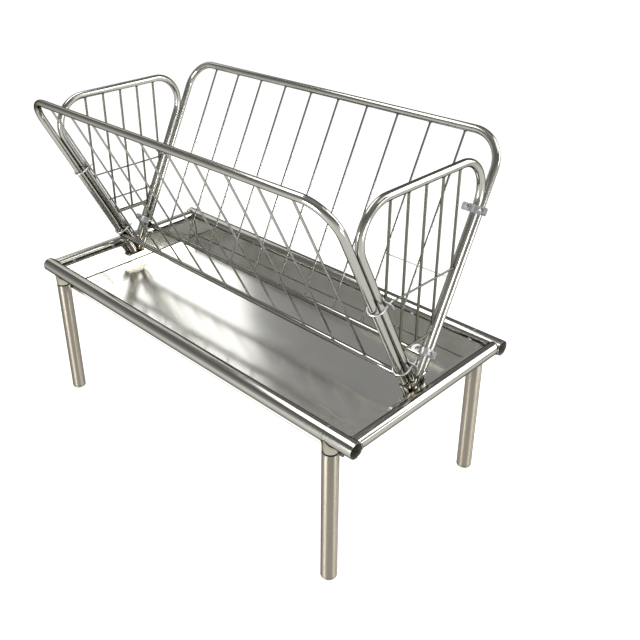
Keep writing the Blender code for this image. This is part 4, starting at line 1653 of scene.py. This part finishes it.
@dataclass
class Clamp:
    """Clamp that ties an end panel's tube to a side panel's tube: U-bolt, saddle and two nuts."""

    side: Side
    end: End
    level: Level
    bolt_radius: float = 0.003
    bolt_round: float = 0.0004
    bolt_sides: int = 24
    bow_steps: int = 28
    spread: float = 0.047
    tube_gap: float = 0.0003
    saddle_length: float = 0.084
    saddle_width: float = 0.024
    saddle_sheet: float = 0.0025
    saddle_columns: int = 9
    saddle_edge: float = 0.0005
    wing_rise: float = 0.005
    arch_fillet: float = 0.004
    wing_round: float = 0.0035
    nut_flats: float = 0.010
    nut_height: float = 0.005
    nut_sides: int = 48
    nut_chamfer_start: float = 0.95
    nut_chamfer_degrees: float = 30.0
    bore_chamfer: float = 0.0005
    nut_twists: Pair = (0.35, 0.9)
    thread_showing: float = 0.012
    thread_pitch: float = 0.001
    thread_depth: float = 0.00045
    thread_length: float = 0.026
    thread_overlap: float = 0.0002
    thread_tip: float = 0.72
    thread_tip_pitches: float = 1.2
    thread_sides: int = 16

    @property
    def place_name(self) -> str:
        """Words that name the clamp's corner and level."""
        return f"{self.side.label}_{self.end.label}_{self.level.label}"

    @property
    def body(self) -> str:
        """The lower clamps ride with the side panel, the upper ones stay on the end panel."""
        return f"side_panel_{self.side.label}" if self.level is Level.LOWER else "frame"

    @property
    def inner_tube(self) -> float:
        """Distance inward from the side panel's tube to the end panel's tube."""
        return 2 * M.rack_radius + self.tube_gap

    @property
    def seat(self) -> float:
        """Distance inward from the side panel's tube to the nuts."""
        return self.inner_tube + self.wing_rise + self.saddle_sheet + self.tube_gap

    @cached_property
    def down(self) -> float:
        """Place of the clamp down the slope, read from its saddle's box.

        Returns:
            The distance from the axis of the panel's top tube.
        """
        low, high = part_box(f"clamp_saddle_{self.place_name}")
        arch_top = M.rack_radius + self.tube_gap + self.saddle_sheet
        return down_at((low.z + high.z) / 2, self.inner_tube + (self.wing_rise + arch_top) / 2)

    def spot(self, across: float, along: float, inward: float) -> Vector:
        """Point of the clamp: across the tubes, along them, and inward from the outer tube."""
        return on_panel(self.side, self.end.value * M.rack_x + across, self.down + along, inward)

    def axis(self, across: float) -> Axis:
        """Axis of a leg of the bolt, inward from the outer tube's axis."""
        axes = (AXIS_X, panel_down(self.side))
        return Axis(self.spot(across, 0, 0), panel_inward(self.side), axes)

    def bolt(self) -> None:
        """U-bolt: the bow round the outer tube and two threaded legs."""
        node = f"clamp_bolt_{self.place_name}"
        form = Form(f"{node}_rod")
        half = self.spread / 2
        centre = half - M.rack_radius - self.tube_gap - self.bolt_radius
        thread_end = self.seat + self.nut_height + self.thread_showing
        thread_start = thread_end - self.thread_length
        path = [self.spot(-half, 0, thread_start)]
        for share in shares(self.bow_steps):
            c, s = math.cos(math.pi * share), math.sin(math.pi * share)
            path.append(self.spot(-half * c, 0, centre - half * s))
        path.append(self.spot(half, 0, thread_start))
        profile = lip(self.bolt_radius, self.bolt_round)
        form.sweep(path, panel_down(self.side), profile, self.bolt_sides)
        for across in (-half, half):
            self.thread(form, across, thread_start - self.thread_overlap, thread_end)
        place(form.build(BRIGHT_ZINC, 50.0), self.body, "zinc_plate", node)

    def thread(self, form: Form, across: float, start: float, end: float) -> None:
        """Helical thread on a leg of the bolt, with a chamfered tip.

        Args:
            form: Form that takes it.
            across: Place of the leg across the tubes.
            start: Distance inward where the thread starts.
            end: Distance inward of the tip.
        """
        rings = []
        for share in shares(int((end - start) / self.thread_pitch * 4)):
            inward = start + (end - start) * share
            tip_length = self.thread_tip_pitches * self.thread_pitch
            from_tip = min(1.0, (end - inward) / tip_length)
            limit = self.bolt_radius * (self.thread_tip + (1 - self.thread_tip) * from_tip)
            spots = []
            for k, (c, s) in enumerate(round_steps(self.thread_sides)):
                phase = (inward / self.thread_pitch + k / self.thread_sides) % 1.0
                depth = self.thread_depth * abs(2.0 * phase - 1.0)
                radius = min(self.bolt_radius - depth, limit)
                spots.append(Vector((inward, radius * c, radius * s)))
            rings.append(form.shaped(self.axis(across), spots, inward))
        form.chain(rings)
        form.cap(rings[0], rings[-1])

    def saddle_line(self) -> list[Pair]:
        """Section of the saddle: two wings and an arch over the inner tube, corners eased.

        Returns:
            Points across the tubes and inward from the inner tube's axis.
        """
        inner = M.rack_radius + self.tube_gap
        foot = math.asin(self.wing_rise / inner)
        half = self.saddle_length / 2
        wing = half - inner * math.cos(foot) - self.arch_fillet
        line = [(half - wing * share, self.wing_rise) for share in shares(8)]
        angles = [foot + (math.pi - 2 * foot) * share for share in shares(24)]
        arch = [(inner * math.cos(angle), inner * math.sin(angle)) for angle in angles]
        line += arch + [(-u, v) for u, v in reversed(line)]
        for _ in range(2):
            corners = zip(line, line[1:], line[2:])
            eased = [
                ((a[0] + 2 * b[0] + c[0]) / 4, (a[1] + 2 * b[1] + c[1]) / 4) for a, b, c in corners
            ]
            line = [line[0], *eased, line[-1]]
        return line

    def saddle(self) -> None:
        """Bent plate with rounded ends, as a chain of flat sections."""
        node = f"clamp_saddle_{self.place_name}"
        form = Form(f"{node}_plate")
        line = self.saddle_line()
        last = self.saddle_columns * 2 - 1
        rings = []
        for k, (u, v) in enumerate(line):
            before, after = line[max(k - 1, 0)], line[min(k + 1, len(line) - 1)]
            tangent = Vector((after[0] - before[0], after[1] - before[1])).normalized()
            short = max(0.0, self.wing_round - (self.saddle_length / 2 - abs(u)))
            cut = self.wing_round - math.sqrt(max(self.wing_round**2 - short**2, 0.0))
            width = self.saddle_width / 2 - cut
            row = [width * (2 * share - 1) for share in shares(self.saddle_columns - 1)]
            stock = [Vector((u, along, 0.0)) for along in row]
            stock += [Vector((u, along, self.saddle_sheet)) for along in reversed(row)]
            places = [
                self.spot(u + tangent.y * p.z, p.y, self.inner_tube + v - tangent.x * p.z)
                for p in stock
            ]
            rings.append(form.add_ring(places, stock, u))
        form.chain(rings)
        for first in (rings[0].first, rings[-1].first):
            for j in range(self.saddle_columns - 1):
                form.faces.append([first + i for i in (j, j + 1, last - 1 - j, last - j)])
                form.laps.append([(0, 0), (1, 0), (1, 1), (0, 1)])
        item = form.build(ZINC, 50.0)
        edge = item.modifiers.new("rounded edges", "BEVEL")
        edge.width = self.saddle_edge
        edge.segments = 2
        edge.limit_method = "ANGLE"
        edge.angle_limit = math.radians(60)
        place(item, self.body, "zinc_plate", node)

    def nut(self, across: float, mark: str, twist: float) -> None:
        """Hexagon nut with chamfered corners.

        Args:
            across: Place of the bolt's leg across the tubes.
            mark: Letter that ends the nut's name.
            twist: Angle that the nut was left at.
        """
        node = f"clamp_nut_{self.place_name}_{mark}"
        form = Form(f"{node}_hex")
        axis = self.axis(across)
        c, s = math.cos(twist), math.sin(twist)
        u, v = axis.across
        twisted = Axis(axis.origin, axis.heading, (u * c + v * s, v * c - u * s))
        flat = self.nut_flats / 2
        chamfer_start = flat * self.nut_chamfer_start
        slope = math.tan(math.radians(self.nut_chamfer_degrees))
        bore = self.bolt_radius + self.tube_gap
        half = self.nut_height / 2

        def hexagon(level: int) -> Ring:
            """Loop of the hexagon at a face, with the chamfer's fall at its corners.

            Args:
                level: -1 for the face on the saddle, 1 for the other.

            Returns:
                The ring.
            """
            spots = []
            for k in range(self.nut_sides):
                turn = FULL_TURN * k / self.nut_sides
                sector = (turn + math.pi / 6) % (math.pi / 3) - math.pi / 6
                radius = flat / math.cos(sector)
                fall = max(0.0, radius - chamfer_start) * slope
                inward = self.seat + level * (half - fall) + half
                y, z = radius * math.cos(turn + twist), radius * math.sin(turn + twist)
                spots.append(Vector((inward, y, z)))
            return form.shaped(axis, spots, self.seat + level * half)

        def holes(*rows: Pair) -> list[Ring]:
            """Round loops by level and radius."""
            places = [(self.seat + (level + 1) * half, radius, 0.0) for level, radius in rows]
            return form.turned(twisted, places, self.nut_sides)

        wide = bore + self.bore_chamfer
        rings = holes((-0.9, bore), (-1.0, wide), (-1.0, chamfer_start))
        rings += [hexagon(-1), hexagon(1)]
        rings += holes((1.0, chamfer_start), (1.0, wide), (0.9, bore))
        form.chain([*rings, rings[0]])
        place(form.build(BRIGHT_ZINC, 25.0), self.body, "zinc_plate", node)

    def build(self) -> None:
        """Build the clamp."""
        self.bolt()
        self.saddle()
        for mark, sign, twist in zip("ab", (-1, 1), self.nut_twists):
            self.nut(sign * self.spread / 2, mark, twist)


@dataclass
class Studio:
    """Pale floor, soft lamps, a world with a darker band above the horizon, and the camera."""

    floor_radius: float = 30.0
    floor_grey: float = 0.30
    floor_glow: float = 0.93
    camera_place: Triple = (1.8603, -1.6403, 1.9193)
    camera_degrees: Triple = (62.80, 1.08, 46.10)
    lens: float = 45.65
    shift: Pair = (0.069, -0.079)
    lamps_aim: Triple = (0.0, 0.0, 0.55)
    world_greys: tuple[Pair, ...] = (
        (0.0, 0.70), (0.5, 0.70), (0.60, 0.52), (0.69, 0.34),
        (0.75, 0.26), (0.88, 0.235), (0.97, 0.40), (1.0, 0.50),
    )

    def floor(self) -> None:
        """Round pale floor."""
        work = bmesh.new()
        bmesh.ops.create_circle(work, cap_ends=True, segments=96, radius=self.floor_radius)
        mesh = bpy.data.meshes.new("studio_floor")
        work.to_mesh(mesh)
        work.free()
        material = bpy.data.materials.new("pale_floor")
        material.use_nodes = True
        n = Nodes(material.node_tree)
        path = n.add("LightPath").outputs
        seen = n.math("MAXIMUM", path["Is Camera Ray"], path["Is Glossy Ray"])
        seen = n.math("MAXIMUM", seen, path["Is Transmission Ray"])
        inputs = {
            "Base Color": (*[self.floor_grey] * 3, 1.0),
            "Roughness": 0.9,
            "Emission Strength": n.math("MULTIPLY", seen, self.floor_glow),
            "Emission Color": WHITE,
        }
        n.feed(n.tree.nodes["Principled BSDF"], inputs)
        mesh.materials.append(material)
        add_object("studio_floor", mesh)

    def world(self) -> None:
        """World: pale at the horizon, a darker band above it, bright overhead."""
        world = bpy.data.worlds.new("studio_world")
        bpy.context.scene.world = world
        world.use_nodes = True
        n = Nodes(world.node_tree)
        direction = n.add("TexCoord").outputs["Generated"]
        height = n.add("SeparateXYZ", {0: direction}).outputs[2]
        stops = [(position, (grey,) * 3) for position, grey in self.world_greys]
        ramp = n.ramp(n.math("MULTIPLY_ADD", height, 0.5, 0.5), stops)
        seen = n.add("LightPath").outputs["Is Camera Ray"]
        shown = n.add("Mix", {0: seen, 6: ramp, 7: WHITE}, data_type="RGBA").outputs[2]
        n.feed(n.tree.nodes["Background"], {"Color": shown, "Strength": 1.0})

    def lamp(
        self,
        name: str,
        spot: Triple,
        size: Pair,
        power: float,
    ) -> None:
        """Soft rectangular lamp that faces the middle of the feeder.

        Args:
            name: Name of the lamp.
            spot: Its place.
            size: Its width and height.
            power: Its power in watts.
        """
        light = bpy.data.lights.new(name, "AREA")
        light.shape = "RECTANGLE"
        light.size, light.size_y = size
        light.energy = power
        item = add_object(name, light)
        item.location = spot
        heading = Vector(self.lamps_aim) - Vector(spot)
        item.rotation_euler = heading.to_track_quat("-Z", "Y").to_euler()
        item.visible_camera = False

    def camera(self) -> None:
        """Camera at the photograph's place and angle."""
        data = bpy.data.cameras.new("photo_camera")
        data.lens = self.lens
        data.sensor_width = 36.0
        data.shift_x, data.shift_y = self.shift
        item = add_object("photo_camera", data)
        item.location = self.camera_place
        item.rotation_euler = [math.radians(angle) for angle in self.camera_degrees]
        bpy.context.scene.camera = item

    def build(self) -> None:
        """Set the whole stage."""
        self.floor()
        self.world()
        self.lamp("rear_lamp", (2.0, 2.5, 2.3), (1.6, 2.5), 75.0)
        self.lamp("low_rear_lamp", (4.65, 2.71, 1.69), (2.0, 0.9), 26.0)
        self.lamp("high_right_lamp", (1.9, 1.0, 3.3), (1.6, 1.2), 10.0)
        self.lamp("left_lamp", (-3.03, 1.04, 1.75), (2.4, 3.0), 30.0)
        self.lamp("high_left_lamp", (-1.1, -0.2, 3.3), (2.4, 0.9), 34.0)
        self.lamp("front_lamp", (0.0, -3.45, 0.9), (1.7, 1.2), 95.0)
        self.lamp("right_lamp", (4.5, 0.45, 0.3), (1.8, 0.5), 56.0)
        self.camera()
        bpy.context.scene.view_settings.view_transform = "Standard"


def main() -> None:
    """Build every sub-assembly in the order in which the feeder is put together."""
    logging.basicConfig(level=logging.INFO, format="%(message)s")
    BaseFrame().build()
    Tray().build()
    for end in End:
        RackFoot(end).build()
        EndPanel(end).build()
        for side in Side:
            Leg(side, end).build()
            for level in Level:
                Clamp(side, end, level).build()
    for side in Side:
        SidePanel(side).build()
    Studio().build()


if __name__ == "__main__":
    main()
